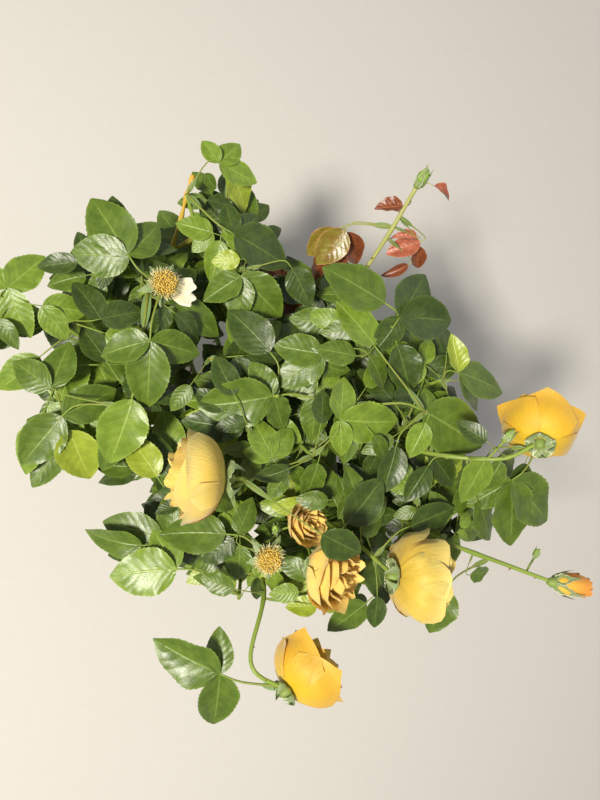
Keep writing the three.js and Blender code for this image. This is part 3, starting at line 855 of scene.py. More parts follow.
FINISHES = {
    "bark": BarkFinish("main_bark", (96, 82, 62), (112, 100, 70), (52, 42, 32), (150, 138, 116), 40, 75),
    "cane": BarkFinish("cane_bark", (108, 96, 64), (104, 124, 58), (70, 62, 38), (148, 140, 100), 55, 150),
    "shoot": StemFinish("shoot_skin", (104, 126, 44), (150, 174, 74), (124, 110, 56)),
    "young_shoot": StemFinish("young_shoot_skin", (152, 160, 80), (182, 184, 108), (176, 112, 72)),
    "stalk": StemFinish("leaf_stalk_skin", (138, 144, 62), (136, 164, 66), (148, 108, 62)),
    "thorn": StemFinish("thorn_horn", (150, 106, 74), (122, 60, 44), (176, 140, 104), 0.35),
    "dying": StemFinish("dying_tip", (150, 156, 56), (236, 178, 62), (190, 130, 56), 0.6),
    # Leaf tints: the deep one is partly painted shade, the light one partly painted sunlight and sheen, and
    # the lime one partly painted light shining through the blade, besides each leaf's own green
    Tint.DEEP: LeafFinish("leaf_deep", (72, 92, 30), (50, 70, 22), (110, 134, 62)),
    Tint.GREEN: LeafFinish("leaf_green", (100, 124, 38), (74, 98, 28), (138, 162, 74)),
    Tint.LIGHT: LeafFinish("leaf_light", (128, 154, 50), (100, 128, 38), (166, 190, 88)),
    Tint.LIME: LeafFinish("leaf_lime", (164, 180, 56), (136, 156, 44), (192, 206, 100)),
    Tint.OLIVE: LeafFinish("leaf_olive", (134, 128, 42), (122, 90, 38), (190, 140, 90), 0.34, margin=0.8),
    Tint.BRONZE: LeafFinish("leaf_bronze", (146, 80, 46), (108, 56, 32), (184, 122, 84), 0.34),
    Tint.BLUSH: LeafFinish("leaf_blush", (192, 112, 84), (150, 76, 56), (216, 152, 120), 0.34),
    "stipule": LeafFinish("stipule_skin", (112, 146, 62), (88, 122, 50), (150, 176, 96)),
    "petal_outer": PetalFinish("petal_outer", (243, 202, 58), (242, 205, 92), (244, 220, 134)),
    "petal_inner": PetalFinish("petal_inner", (238, 178, 42), (240, 196, 72), (244, 216, 116)),
    # The gold petals are partly a painted glow of light shining through them from behind, besides the blooms'
    # own deeper gold
    "petal_gold": PetalFinish("petal_gold", (240, 200, 32), (232, 180, 44), (228, 178, 64)),
    "petal_pale": PetalFinish("petal_pale", (230, 188, 60), (228, 194, 84), (230, 208, 120)),
    "petal_peach": PetalFinish("petal_peach", (246, 216, 90), (246, 218, 112), (246, 208, 114)),
    "petal_bud": PetalFinish("petal_bud", (246, 208, 66), (244, 184, 66), (232, 146, 62)),
    "petal_faded": PetalFinish("petal_faded", (244, 226, 160), (246, 234, 196), (250, 244, 222)),
    "petal_fringe": PetalFinish("petal_fringe", (238, 214, 110), (240, 228, 150), (236, 232, 186)),
    "sepal": LeafFinish("sepal_skin", (150, 166, 108), (116, 138, 82), (226, 230, 196), 0.55, margin=0.95),
    "hip": StemFinish("hip_skin", (136, 158, 76), (148, 170, 88), (164, 180, 110)),
    "green_bud": StemFinish("bud_skin", (124, 166, 60), (160, 190, 84), (140, 120, 70)),
    "filament": StemFinish("filament", (246, 226, 132), (248, 238, 178), (236, 200, 100), 0.6),
    "anther": StemFinish("anther", (240, 192, 70), (248, 214, 100), (214, 160, 60), 0.8),
}


@dataclass
class Patch:
    """One surface: points, the corners of all faces in a row, how many a face has, their map and finish."""

    points: Array
    corners: Array
    counts: Array
    spots: Array
    finish: FinishKey


@dataclass
class Sheaf:
    """Surfaces of one kind, gathered and written as one piece."""

    MAP = "surface"
    BAKE_MAP = "OFBake"
    CELL_EDGE = 0.02

    name: str
    slot: str
    patches: list[Patch] = field(default_factory=list)

    def add(self, patch: Patch) -> None:
        """Gathers one more surface."""
        self.patches.append(patch)

    def bake_map(self, spots: Array, slots: Array, count: int) -> Array:
        """Deals the corners to one cell of a square board for each finish.

        Args:
            spots: the corners' own map, from 0 to 1.
            slots: each corner's material slot.
            count: how many slots there are.

        Returns:
            The corners' places on the board.
        """
        side = math.ceil(math.sqrt(count))
        cell = np.stack([slots % side, slots // side], axis=1)
        return (cell + self.CELL_EDGE + spots * (1 - 2 * self.CELL_EDGE)) / side

    def write(self, *nodes: str) -> bpy.types.Object:
        """Makes the piece: one mesh in metres with its finishes, riding on the plant.

        Args:
            nodes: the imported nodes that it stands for.

        Returns:
            The new object.
        """
        finishes = list(dict.fromkeys(patch.finish for patch in self.patches))
        starts = np.cumsum([0] + [len(patch.points) for patch in self.patches])[:-1]
        points = np.concatenate([patch.points for patch in self.patches]) * METRES
        corners = np.concatenate([patch.corners + start for patch, start in zip(self.patches, starts)])
        counts = np.concatenate([patch.counts for patch in self.patches])
        spots = np.concatenate([patch.spots for patch in self.patches])
        slots = np.concatenate([
            np.full(len(patch.counts), finishes.index(patch.finish)) for patch in self.patches])
        mesh = bpy.data.meshes.new(self.name)
        mesh.vertices.add(len(points))
        mesh.vertices.foreach_set("co", points.ravel())
        mesh.loops.add(len(corners))
        mesh.loops.foreach_set("vertex_index", corners.astype(np.int32))
        mesh.polygons.add(len(counts))
        mesh.polygons.foreach_set("loop_start", (np.cumsum(counts) - counts).astype(np.int32))
        mesh.update(calc_edges=True)
        mesh.polygons.foreach_set("material_index", slots.astype(np.int32))
        mesh.polygons.foreach_set("use_smooth", np.ones(len(counts), bool))
        for finish in finishes:
            mesh.materials.append(finish_material(finish))
        own = mesh.uv_layers.new(name=self.MAP)
        own.data.foreach_set("uv", spots.ravel())
        board = mesh.uv_layers.new(name=self.BAKE_MAP)
        board.data.foreach_set("uv", self.bake_map(spots, np.repeat(slots, counts), len(finishes)).ravel())
        mesh.update()
        piece = bpy.data.objects.new(self.name, mesh)
        bpy.context.scene.collection.objects.link(piece)
        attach(piece, "root")
        if nodes:
            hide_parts(*nodes)
        triangles = int((counts - 2).sum())
        log.info("%s: %d faces, %d triangles", self.name, len(counts), triangles)
        return piece


@cache
def finish_material(finish: FinishKey) -> Material:
    """Returns the material of a finish, built the first time it is asked for."""
    return FINISHES[finish].make()


def grid_faces(rows: int, columns: int, wraps: bool) -> tuple[Array, Array]:
    """Lists the four-cornered faces of a grid of points.

    Args:
        rows: rows of points.
        columns: points in a row.
        wraps: whether the last column joins the first.

    Returns:
        The corners of all faces in a row, and each corner's share across and along the grid.
    """
    wide = columns if wraps else columns - 1
    row, column = (part.ravel() for part in np.mgrid[0:rows - 1, 0:wide])
    corner_rows = np.stack([row, row, row + 1, row + 1], axis=1)
    corner_columns = np.stack([column, column + 1, column + 1, column], axis=1)
    corners = (corner_rows * columns + corner_columns % columns).ravel()
    spots = np.stack([corner_columns.ravel() / wide, corner_rows.ravel() / (rows - 1)], axis=1)
    return corners, spots


def sheet(points: Array, finish: FinishKey, wraps: bool = False) -> Patch:
    """Returns a surface through a grid of points, rows by columns by three."""
    corners, spots = grid_faces(*points.shape[:2], wraps)
    return Patch(points.reshape(-1, 3), corners, np.full(len(corners) // 4, 4), spots, finish)


def ring_angles(sides: int) -> Array:
    """Returns even angles round a circle, in radians."""
    return np.linspace(0, math.tau, sides, endpoint=False)


def closed(rings: Array, finish: FinishKey, foot: bool = True) -> Patch:
    """Makes a skin through rings of points, with a flat cap on its last ring.

    Args:
        rings: the points, ring by ring.
        finish: the finish of the skin.
        foot: whether the first ring gets a cap too.

    Returns:
        The surface.
    """
    skin = sheet(rings, finish, wraps=True)
    count, sides = rings.shape[:2]
    around = np.arange(sides)
    first = 0 if foot else 1
    caps = [around[::-1], (count - 1) * sides + around][first:]
    middles = [[0.5, 0.0], [0.5, 1.0]][first:]
    skin.corners = np.concatenate([skin.corners, *caps])
    skin.counts = np.concatenate([skin.counts, [sides] * len(caps)])
    skin.spots = np.concatenate([skin.spots, np.repeat(middles, sides, axis=0)])
    return skin


def tube(line: Array, radius: Array, sides: int, finish: FinishKey) -> Patch:
    """Carries a round section along a line and closes both ends.

    Each ring is centre + radius x (across cos angle + over sin angle), square to the line.

    Args:
        line: the centre of each ring.
        radius: one radius, one for each ring, or one for each point of each ring.
        sides: points in a ring.
        finish: the finish of the skin.

    Returns:
        The closed surface.
    """
    along = unit(np.gradient(line, axis=0))
    reference = np.eye(3)[np.argmin(np.abs(line[-1] - line[0]))]
    over = unit(np.cross(along, reference))
    across = np.cross(over, along)
    angle = ring_angles(sides)
    ring = across[:, None] * np.cos(angle)[:, None] + over[:, None] * np.sin(angle)[:, None]
    size = radius[..., None] if np.ndim(radius) == 2 else np.reshape(radius, (-1, 1, 1))
    return closed(line[:, None] + ring * size, finish)


@dataclass
class Leaflet:
    """One blade: its foot, direction, upward normal, length, and the share of the stalk that it sits at."""

    place: Array
    along: Array
    normal: Array
    length: float
    seat: float = 1.0

    @property
    def width(self) -> float:
        """Returns the width across the blade's middle."""
        return self.length * LEAFLET_WIDTH_SHARE

    def tests(self) -> Array:
        """Returns places spread over the blade, to test and to fill its space."""
        side = unit(np.cross(self.normal, self.along))
        shares = np.array([(share, half * hand) for share, half in LEAFLET_TESTS for hand in (-1, 0, 1)])
        return self.place + shares[:, :1] * self.along * self.length + shares[:, 1:] * side * self.width


@dataclass
class Leaf:
    """A compound leaf: its stalk from the shoot to the upper joint, its leaflets, its tint and fold."""

    root: Array
    end: Array
    normal: Array
    leaflets: list[Leaflet]
    knee: Array | None = None
    tint: Tint = Tint.GREEN
    fold: float = 0.12
    sag: float = 0.08
    breadth: float = 0.88

    ARCH = 2.5

    def stalk(self) -> SmoothCurve:
        """Returns the line of the stalk, which arches a little."""
        knee = lerp(self.root, self.end, 0.5) + UP * self.ARCH if self.knee is None else self.knee
        return SmoothCurve(np.array([self.root, knee, self.end]))

    def stalk_posts(self) -> Array:
        """Returns places along the stalk, to test and to fill its space."""
        return np.array([lerp(self.root, self.end, share) for share in STALK_TESTS])


@dataclass
class BladeBend:
    """How one blade is bent: angles in radians, the rest as shares of its size."""

    breadth: float
    fold: float
    sag: float
    ripple: float
    waves: float
    phase: float
    twist: float
    sway: float
    cup: float

    @classmethod
    def drawn(cls, leaf: Leaf, dice: Dice) -> Self:
        """Draws a bend.

        Args:
            leaf: gives the breadth, fold and sag that the bend is drawn about.
            dice: draws it.

        Returns:
            The bend.
        """
        return cls(
            breadth=leaf.breadth + dice.between(-0.08, 0.08),
            fold=leaf.fold + dice.between(-0.06, 0.2),
            sag=leaf.sag + dice.between(-0.05, 0.12),
            ripple=dice.between(0.03, 0.11),
            waves=dice.between(1.6, 3.2),
            phase=dice.roll(),
            twist=dice.between(-0.4, 0.4),
            sway=dice.between(-0.06, 0.06),
            cup=dice.between(-0.02, 0.14),
        )


class BladeForm:
    """The toothed blade that every leaflet is bent from.

    The half width at share u of the length goes with u^FOOT_POWER (1 - u)^TIP_POWER, so that the blade is
    widest before its middle, round at its foot and pointed at its tip. Rows of the net cross it at STATIONS.
    """

    STATIONS = (0.0, 0.09, 0.22, 0.36, 0.5, 0.65, 0.81, 1.0)
    INNER = 0.55
    FOOT_POWER = 0.6
    TIP_POWER = 0.84
    TOOTH_STEPS = ((0.0, 0.985), (0.42, 1.03), (0.5, 0.985), (0.92, 1.03))

    def __init__(self) -> None:
        """Lays out the net once: shares along and across the blade, its faces and its map."""
        stations = np.array(self.STATIONS)
        spans = len(stations) - 1
        steps = np.array(self.TOOTH_STEPS)
        outline = (stations[:-1, None] + np.diff(stations)[:, None] * steps[:, 0]).ravel()[1:]
        teeth = np.tile(steps[:, 1], spans)[1:]
        inner = stations[1:-1]
        self.along = np.concatenate([stations, inner, inner, outline, outline])
        self.across = np.concatenate([
            np.zeros(len(stations)), np.full(len(inner), self.INNER), np.full(len(inner), -self.INNER),
            teeth, -teeth])
        faces = self.half_faces(spans, len(steps), 1) + self.half_faces(spans, len(steps), -1)
        self.corners = np.concatenate([np.array(face) for face in faces])
        self.counts = np.array([len(face) for face in faces])

    def half_faces(self, spans: int, steps: int, hand: int) -> list[list[int]]:
        """Lists the faces of one half of the blade.

        Args:
            spans: spaces between the stations.
            steps: outline points in a space.
            hand: 1 for the left half, -1 for the right one.

        Returns:
            The corners of each face, turned to point upward.
        """
        inner_foot = spans + 1 + (0 if hand > 0 else spans - 1)
        outline_foot = spans + 1 + 2 * (spans - 1) + (0 if hand > 0 else spans * steps - 1)

        def inner(station: int) -> int:
            """Returns the number of the point between midrib and margin at a station."""
            return inner_foot + station - 1 if 0 < station < spans else station

        def rim(number: int) -> int:
            """Returns the number of an outline point, counted from the foot."""
            return outline_foot + number - 1 if 0 < number < spans * steps else number // steps

        faces = []
        for station in range(spans):
            first = station * steps
            near = inner(station) if station else 1
            far = inner(station + 1) if station < spans - 1 else spans - 1
            if 0 < station < spans - 1:
                faces.append([station, station + 1, far, near])
            faces.append([near, rim(first + 2), rim(first + 1), rim(first)])
            faces.append([near, far, rim(first + 2)])
            faces.append([far, rim(first + 4), rim(first + 3), rim(first + 2)])
        return faces if hand > 0 else [face[::-1] for face in faces]

    def bent(self, leaflet: Leaflet, tint: FinishKey, bend: BladeBend) -> Patch:
        """Bends the blade to a leaflet.

        A point lies at share u along and v across. It is set out v w cos fold to the side and |v| w sin fold
        up, where w is the half width. The tip sags with the square of u, the blade sways sideways with it,
        the margin ripples with v squared, and the whole blade twists about its midrib.

        Args:
            leaflet: the place, direction and size.
            tint: the finish.
            bend: how the blade is bent.

        Returns:
            The blade.
        """
        u, v = self.along, self.across
        peak = self.FOOT_POWER / (self.FOOT_POWER + self.TIP_POWER)
        full = peak**self.FOOT_POWER * (1 - peak) ** self.TIP_POWER
        half = u**self.FOOT_POWER * (1 - u) ** self.TIP_POWER / full * leaflet.width / 2 * bend.breadth
        side = v * half * math.cos(bend.fold)
        ripple = bend.ripple * half * v**2 * np.sin(math.tau * (bend.waves * u + bend.phase) + np.sign(v))
        rise = np.abs(v) * half * math.sin(bend.fold) + ripple
        rise = rise - bend.sag * leaflet.length * u**2 - bend.cup * half * v**2
        turn = bend.twist * u
        side, rise = side * np.cos(turn) - rise * np.sin(turn), side * np.sin(turn) + rise * np.cos(turn)
        side = side + bend.sway * leaflet.length * u**2
        reach = leaflet.length * (u - 0.04 * np.abs(v) * (1 - u) * (u > 0.3))
        left = unit(np.cross(leaflet.normal, leaflet.along))
        normal = np.cross(leaflet.along, left)
        points = leaflet.place + reach[:, None] * leaflet.along
        points = points + side[:, None] * left + rise[:, None] * normal
        flat = np.stack([0.5 + 0.47 * v, u], axis=1)
        return Patch(points, self.corners, self.counts, flat[self.corners], tint)


@dataclass
class Space:
    """What stands where: posts with their reach, and the walls between the masses in plan."""

    walls: Array
    limits: Array
    places: Array = field(default_factory=lambda: np.zeros((0, 3)))
    reaches: Array = field(default_factory=lambda: np.zeros(0))

    SEARCH = 44.0

    @classmethod
    def around(cls, heart: Pair, others: list[Pair]) -> Self:
        """Makes the space nearer in plan to its own heart than to any other, by the cell margin.

        Args:
            heart: its own heart.
            others: the hearts of the other masses.

        Returns:
            The space, with a wall halfway to each other heart.
        """
        own = np.array([*heart, 0.0])
        rest = np.array([[*other, 0.0] for other in others])
        walls = unit(rest - own)
        return cls(walls, (walls * (rest + own) / 2).sum(1) - CELL_MARGIN)

    def fill(self, places: Array, reach: float | Array) -> None:
        """Adds posts, each of which keeps its reach free."""
        self.places = np.concatenate([self.places, places])
        self.reaches = np.concatenate([self.reaches, np.broadcast_to(reach, len(places))])

    def holds(self, points: Array, give: float = 0.0) -> bool:
        """Returns whether all points are above the lowest leaf and pass no wall by more than give."""
        return points[:, 2].min() >= LOWEST_LEAF and not (points @ self.walls.T >= self.limits + give).any()

    def free(self, points: Array) -> bool:
        """Returns whether all points are out of every post's reach."""
        low, high = points.min(0) - self.SEARCH, points.max(0) + self.SEARCH
        near = ((self.places > low) & (self.places < high)).all(1)
        gaps = np.linalg.norm(self.places[near][:, None] - points, axis=2)
        return not (gaps < self.reaches[near][:, None]).any()

    def clear(self, points: Array) -> bool:
        """Returns whether the points are in the mass's own space and free."""
        return self.holds(points) and self.free(points)


@dataclass
class Limb:
    """A cane or bough: its plan, its curve and its radius at both ends."""

    plan: LimbPlan
    curve: SmoothCurve
    foot_radius: float

    SIDES = 14
    RINGS = 90
    SCARS = 5
    SCAR_SWELL = 0.1
    SCAR_LENGTH = 0.012
    THORN_STEP = 17.0
    THORN_LENGTH = (4.5, 7.0)
    LAST_THORN = 0.97

    def radius(self, share: float | Array) -> float | Array:
        """Returns the radius at a share of the length."""
        return self.foot_radius + (LIMB_TIP_RADIUS - self.foot_radius) * share

    def fill(self, space: Space) -> None:
        """Takes up the room of the limb in a space."""
        posts = np.linspace(0, 1, LIMB_POSTS + 1)
        space.fill(self.curve.at(posts), self.radius(posts) + LIMB_MARGIN)

    def dress(self, dice: Dice) -> None:
        """Makes the limb's bark with its leaf scars, and its thorns.

        The radius is the tapering one, times 1 + ridges that run lengthwise + a swelling at each leaf scar.

        Args:
            dice: draws the relief and the thorns.
        """
        share = np.linspace(0, 1, self.RINGS)
        line = self.curve.at(share)
        line[-1] += self.curve.along(1.0) * (JOINT_GAP + 1.0)
        angle = ring_angles(self.SIDES)
        scars = np.array([dice.between(0.1, 0.95) for _ in range(self.SCARS)])
        swell = (self.SCAR_SWELL * np.exp(-((share[:, None] - scars) / self.SCAR_LENGTH) ** 2)).sum(1)
        ridge = 0.03 * np.sin(3 * angle + 9 * share[:, None] + 6 * dice.roll())
        ridge = ridge + 0.02 * np.sin(7 * angle - 31 * share[:, None] + 6 * dice.roll())
        sheaf = Sheaf(self.plan.name + "_bark", "cane")
        sheaf.add(tube(line, self.radius(share)[:, None] * (1 + swell[:, None] + ridge), self.SIDES, "cane"))
        length = np.linalg.norm(np.diff(line, axis=0), axis=1).sum()
        for number in range(int(length / self.THORN_STEP)):
            at = (number + dice.between(0.3, 0.9)) * self.THORN_STEP / length
            if at < self.LAST_THORN:
                bearing, size = 360 * dice.roll(), dice.between(*self.THORN_LENGTH)
                sheaf.add(thorn(self.curve, at, self.radius(at), bearing, size))
        sheaf.write(self.plan.name)


def set_out_limbs() -> dict[str, Limb]:
    """Sets out the limbs: canes start on the stem's crown, boughs at their share of a cane.

    Returns:
        All limbs by name.
    """
    limbs: dict[str, Limb] = {}
    for plan in LIMBS:
        tip = np.array(plan.tip, float)
        cane = plan.parent == "crown"
        if cane:
            lean = np.array([tip[0], tip[1], 0.0])
            spread = min(CROWN_SPREAD, CROWN_SPREAD_SHARE * float(np.linalg.norm(lean)))
            start = np.array([STEM_LEAN * CROWN_HEIGHT, 0.0, CROWN_HEIGHT]) + unit(lean) * spread
        else:
            start = limbs[plan.parent].curve.at(plan.share)
        knee = lerp(start, tip, KNEE_SHARE) + UP * plan.arch
        curve = SmoothCurve(np.array([start, knee, tip]))
        limbs[plan.name] = Limb(plan, curve, CANE_RADIUS if cane else BOUGH_RADIUS)
    return limbs


def thorn(curve: SmoothCurve, share: float, radius: float, bearing: float, length: float) -> Patch:
    """Makes a hooked thorn on a stem.

    The section's centre moves out with the share t of the thorn and down with its square, and its size falls
    from a long oval foot to a point with 1 - t.

    Args:
        curve: the stem's line.
        share: where on the line it sits.
        radius: the stem's radius there.
        bearing: degrees round the stem.
        length: how far it stands out.

    Returns:
        The closed surface.
    """
    along = curve.along(share)
    out = unit(np.cross(along, np.array([0.31, 0.87, 0.38])))
    out = turned(out, along, math.radians(bearing))
    across = np.cross(along, out)
    t = np.linspace(0, 1, THORN_RINGS)[:, None]
    centre = curve.at(share) + out * (radius * 0.8 + length * t) - along * length * 0.45 * t**2
    angle = ring_angles(THORN_SIDES)
    size = length * (0.42 * (1 - t) ** 1.5 + 0.015)
    ring = across[None] * (0.55 * np.cos(angle))[:, None] - along[None] * np.sin(angle)[:, None]
    return closed(centre[:, None] + ring[None] * size[..., None], "thorn", foot=False)


@dataclass
class MainStem:
    """The short stem: flared foot, swollen graft and crown, with bark relief."""

    sides: int = 56
    rings: int = 72
    fissures: float = 0.05
    scar_bearings: tuple[float, ...] = (35.0, 160.0, 285.0)

    def dress(self, dice: Dice) -> None:
        """Makes the stem's bark.

        The radius at each height is the profile's, times 1 + fissures that run up the stem and drift round it
        + a low boss where an old cane was cut off.

        Args:
            dice: draws the relief.
        """
        radii, heights = np.array(STEM_PROFILE, float).T
        knots = np.concatenate([heights, [STEM_TOP]])
        height = np.linspace(0, STEM_TOP, self.rings)
        flank = np.interp(height, knots, np.concatenate([radii, [STEM_TOP_RADIUS]]))
        angle = ring_angles(self.sides)
        rising = height[:, None] / STEM_TOP
        relief = np.zeros((self.rings, self.sides))
        for waves in (5, 9, 14, 21):
            drift = waves * angle + dice.between(-5, 5) * rising + math.tau * dice.roll()
            relief += np.sin(drift + np.sin(3 * drift + 8 * rising)) * self.fissures * 5 / (waves + 6)
        for number, bearing in enumerate(self.scar_bearings):
            off = (angle - math.radians(bearing) + math.pi) % math.tau - math.pi
            level = 0.55 + 0.1 * number
            relief += 0.22 * np.exp(-(off / 0.28) ** 2 - ((rising - level) / 0.08) ** 2)
        round_stem = flank[:, None] * (1 + relief * np.sin(math.pi * np.clip(rising * 1.4, 0.12, 1)))
        ring = np.stack([np.cos(angle), np.sin(angle)], axis=1)
        points = np.zeros((self.rings, self.sides, 3))
        points[..., :2] = ring * round_stem[..., None]
        points[..., 0] += STEM_LEAN * height[:, None]
        points[..., 2] = height[:, None]
        sheaf = Sheaf("main_stem_bark", "bark")
        sheaf.add(closed(points, "bark"))
        sheaf.write("main_stem")


@dataclass
class Shoot:
    """A grown shoot: its plan, its curve and its radius at the foot."""

    plan: ShootPlan
    curve: SmoothCurve
    foot_radius: float


class Mass:
    """Grows one leafy mass by the solids' rule, then finer, and dresses it."""

    SHOOT_SIDES = 9
    SHOOT_RINGS = 36
    NODE_SWELL = 0.22
    NODE_LENGTH = 4.0
    THORNS = 5
    YOUNG_THORNS = 9
    THORN_LENGTH = (2.6, 4.6)
    THORN_SEAT = 1.6
    THORN_SPAN = (0.12, 0.92)

    def __init__(self, plan: MassPlan, index: int, limbs: dict[str, Limb]) -> None:
        """Sets out the mass at its limb's tip.

        Args:
            plan: what grows.
            index: the mass's number, which sets its seed.
            limbs: all limbs by name.
        """
        self.plan = plan
        self.dice = Dice(SEED + SEED_STEP * index)
        self.fine = Dice(FINE_SEED + SEED_STEP * index)
        limb = limbs[plan.limb]
        self.heading = limb.curve.along(1.0)
        self.start = limb.curve.at(1.0) + self.heading * JOINT_GAP
        self.space = Space.around(plan.heart, [mass.heart for mass in MASSES if mass is not plan])
        for other in limbs.values():
            other.fill(self.space)
        for place, reach in head_rooms():
            self.space.fill(place[None], reach)
        self.shoots: list[Shoot] = []
        self.leaves: list[Leaf] = []
        self.seen: list[Leaf] = []

    def grow_shoots(self) -> None:
        """Grows the main shoot on from the limb, and the others from forks along it."""
        for index, plan in enumerate(self.plan.shoots):
            bends = [np.array(point, float) for point in plan.via]
            tip = np.array(plan.tip, float)
            if index == 0:
                knots = [self.start, self.start + self.heading * STRAIGHT_START, *bends, tip]
            else:
                root = self.shoots[0].curve.at(FORK_FIRST + FORK_STEP * index)
                knots = [root, *(bends or [lerp(root, tip, SHOOT_ARCH_SHARE) + UP * SHOOT_ARCH]), tip]
            curve = SmoothCurve(np.array(knots))
            self.shoots.append(Shoot(plan, curve, SHOOT_RADIUS if index == 0 else SIDE_SHOOT_RADIUS))
            self.space.fill(curve.posts(SHOOT_POSTS), SHOOT_MARGIN)

    def grow_leaves(self) -> None:
        """Grows the leaves that the solids have."""
        for shoot in self.shoots:
            for order in range(shoot.plan.leaves):
                leaf = self.grow_leaf(shoot, order, self.dice, LEAF_SIZE, self.space.clear)
                if leaf:
                    self.leaves.append(leaf)
                    fill_leaf(self.space, leaf, LEAF_SPACING)

    def grow_leaf(
        self, shoot: Shoot, order: float, dice: Dice, sizes: Pair, clear: Test,
    ) -> Leaf | None:
        """Grows a compound leaf: a stalk with one or two pairs of leaflets and one at its end.

        Args:
            shoot: what it grows on.
            order: its number on the shoot, which sets its place and bearing.
            dice: draws its size, pairs, bearing, pitch and roll.
            sizes: the smallest and the largest size.
            clear: tells whether points have room.

        Returns:
            The leaf at the first size and heading that has room, or None.
        """
        plan = shoot.plan
        first, last = plan.span
        root = shoot.curve.at(first + (last - first) * order / max(1, plan.leaves - 1))
        size = dice.between(*sizes) * plan.size
        pairs = 2 if dice.roll() < TWO_PAIR_SHARE else 1
        wobble = dice.between(-HEADING_WOBBLE, HEADING_WOBBLE)
        pitch = math.radians(dice.between(*STALK_PITCH))
        roll = math.radians(dice.between(-BLADE_ROLL, BLADE_ROLL))
        reach = plan.reach or self.plan.reach

        def has_room(points: Array) -> bool:
            """Returns whether points are within the mass's reach and clear."""
            return (np.linalg.norm(points[:, :2] - CROWN_MIDDLE, axis=1) <= reach).all() and clear(points)

        for scale, turn in product(SIZE_TRIES, HEADING_TRIES):
            stalk = (LONG_STALK if pairs == 2 else SHORT_STALK) * size * scale
            bearing = math.radians(plan.turn + SPIRAL_STEP * order + wobble + turn)
            end = root + heading(bearing, math.tan(pitch)) * stalk
            level = heading(bearing, -math.tan(BLADE_DIP))
            leaf = set_out_leaf(root, end, level, roll, size * scale, pairs, has_room)
            if leaf:
                return leaf
        return None

    def dress(self, blade: BladeForm) -> None:
        """Makes the mass's two pieces: its shoots, stalks and thorns, and its leaf blades.

        Args:
            blade: the form that every leaflet is bent from.
        """
        twigs = Sheaf(self.plan.name + "_twigs", "cane")
        blades = Sheaf(self.plan.name + "_leaves", "foliage")
        for shoot in self.shoots:
            self.dress_shoot(twigs, shoot)
        for leaf in self.leaves + self.seen:
            self.dress_leaf(twigs, blades, leaf, blade)
        twigs.write(self.plan.name)
        blades.write(self.plan.name)

    def dress_shoot(self, twigs: Sheaf, shoot: Shoot) -> None:
        """Adds a shoot, swollen where leaves leave it, and its thorns.

        Args:
            twigs: where it goes.
            shoot: the shoot.
        """
        share = np.linspace(0, 1, self.SHOOT_RINGS)
        line = shoot.curve.at(share)
        joints = np.array([leaf.root for leaf in self.leaves + self.seen])
        gaps = np.linalg.norm(line[:, None] - joints, axis=2).min(1)
        radius = shoot.foot_radius + (SHOOT_TIP_RADIUS - shoot.foot_radius) * share
        radius = radius * (1 + self.NODE_SWELL * np.exp(-((gaps / self.NODE_LENGTH) ** 2)))
        young = shoot.plan.young
        twigs.add(tube(line, radius, self.SHOOT_SIDES, "young_shoot" if young else "shoot"))
        thorns = self.YOUNG_THORNS if young else self.THORNS
        for number in range(thorns):
            at = lerp(*self.THORN_SPAN, (number + self.fine.roll()) / thorns)
            length = self.fine.between(*self.THORN_LENGTH)
            bearing = 360 * self.fine.roll()
            twigs.add(thorn(shoot.curve, min(at, Limb.LAST_THORN), self.THORN_SEAT, bearing, length))

    def dress_leaf(self, twigs: Sheaf, blades: Sheaf, leaf: Leaf, form: BladeForm) -> None:
        """Adds a compound leaf: its stalk with two stipules, and its blades.

        Args:
            twigs: where the stalk goes.
            blades: where the blades go.
            leaf: the leaf.
            form: the form of the blade.
        """
        stalk = leaf.stalk()
        size = leaf.leaflets[0].length / LEAFLET_LENGTH
        share = np.linspace(0, 1, 9)
        line = stalk.at(share)
        finish = "young_shoot" if leaf.tint in (Tint.BRONZE, Tint.BLUSH, Tint.OLIVE) else "stalk"
        twigs.add(tube(line, (1.25 - 0.5 * share + 0.5 * np.exp(-share / 0.06)) * size, 6, finish))
        side = unit(np.cross(leaf.normal, stalk.along(0.1)))
        reach = np.linspace(0, 0.24, 6)[:, None, None]
        across = np.array([0.0, 1.0])[:, None]
        for hand in (1, -1):
            edge = hand * size * across * (0.8 + 3.2 * np.sin(math.pi * np.clip(reach / 0.22, 0, 1)) ** 0.6)
            wing = stalk.at(reach[:, 0, 0])[:, None] + edge * side + 0.4 * across * leaf.normal
            twigs.add(sheet(wing if hand > 0 else wing[:, ::-1], "stipule"))
        for leaflet in leaf.leaflets:
            leaflet.place = stalk.at(leaflet.seat)
            blades.add(form.bent(leaflet, leaf.tint, BladeBend.drawn(leaf, self.fine)))


def head_rooms() -> list[tuple[Array, float]]:
    """Returns the middle and the reach of the room that each bloom and bud keeps free."""
    rooms = []
    for shoot in (shoot for mass in MASSES for shoot in mass.shoots if shoot.bears):
        centre, reach = HEAD_ROOM[shoot.bears]
        rooms.append((np.array(shoot.tip, float) + unit(np.array(shoot.faces, float)) * centre, reach))
    return rooms


def fill_leaf(space: Space, leaf: Leaf, spacing: float) -> None:
    """Takes up the room of a leaf's blades and stalk."""
    for leaflet in leaf.leaflets:
        space.fill(leaflet.tests(), spacing)
    space.fill(leaf.stalk_posts(), min(spacing, SHOOT_MARGIN))


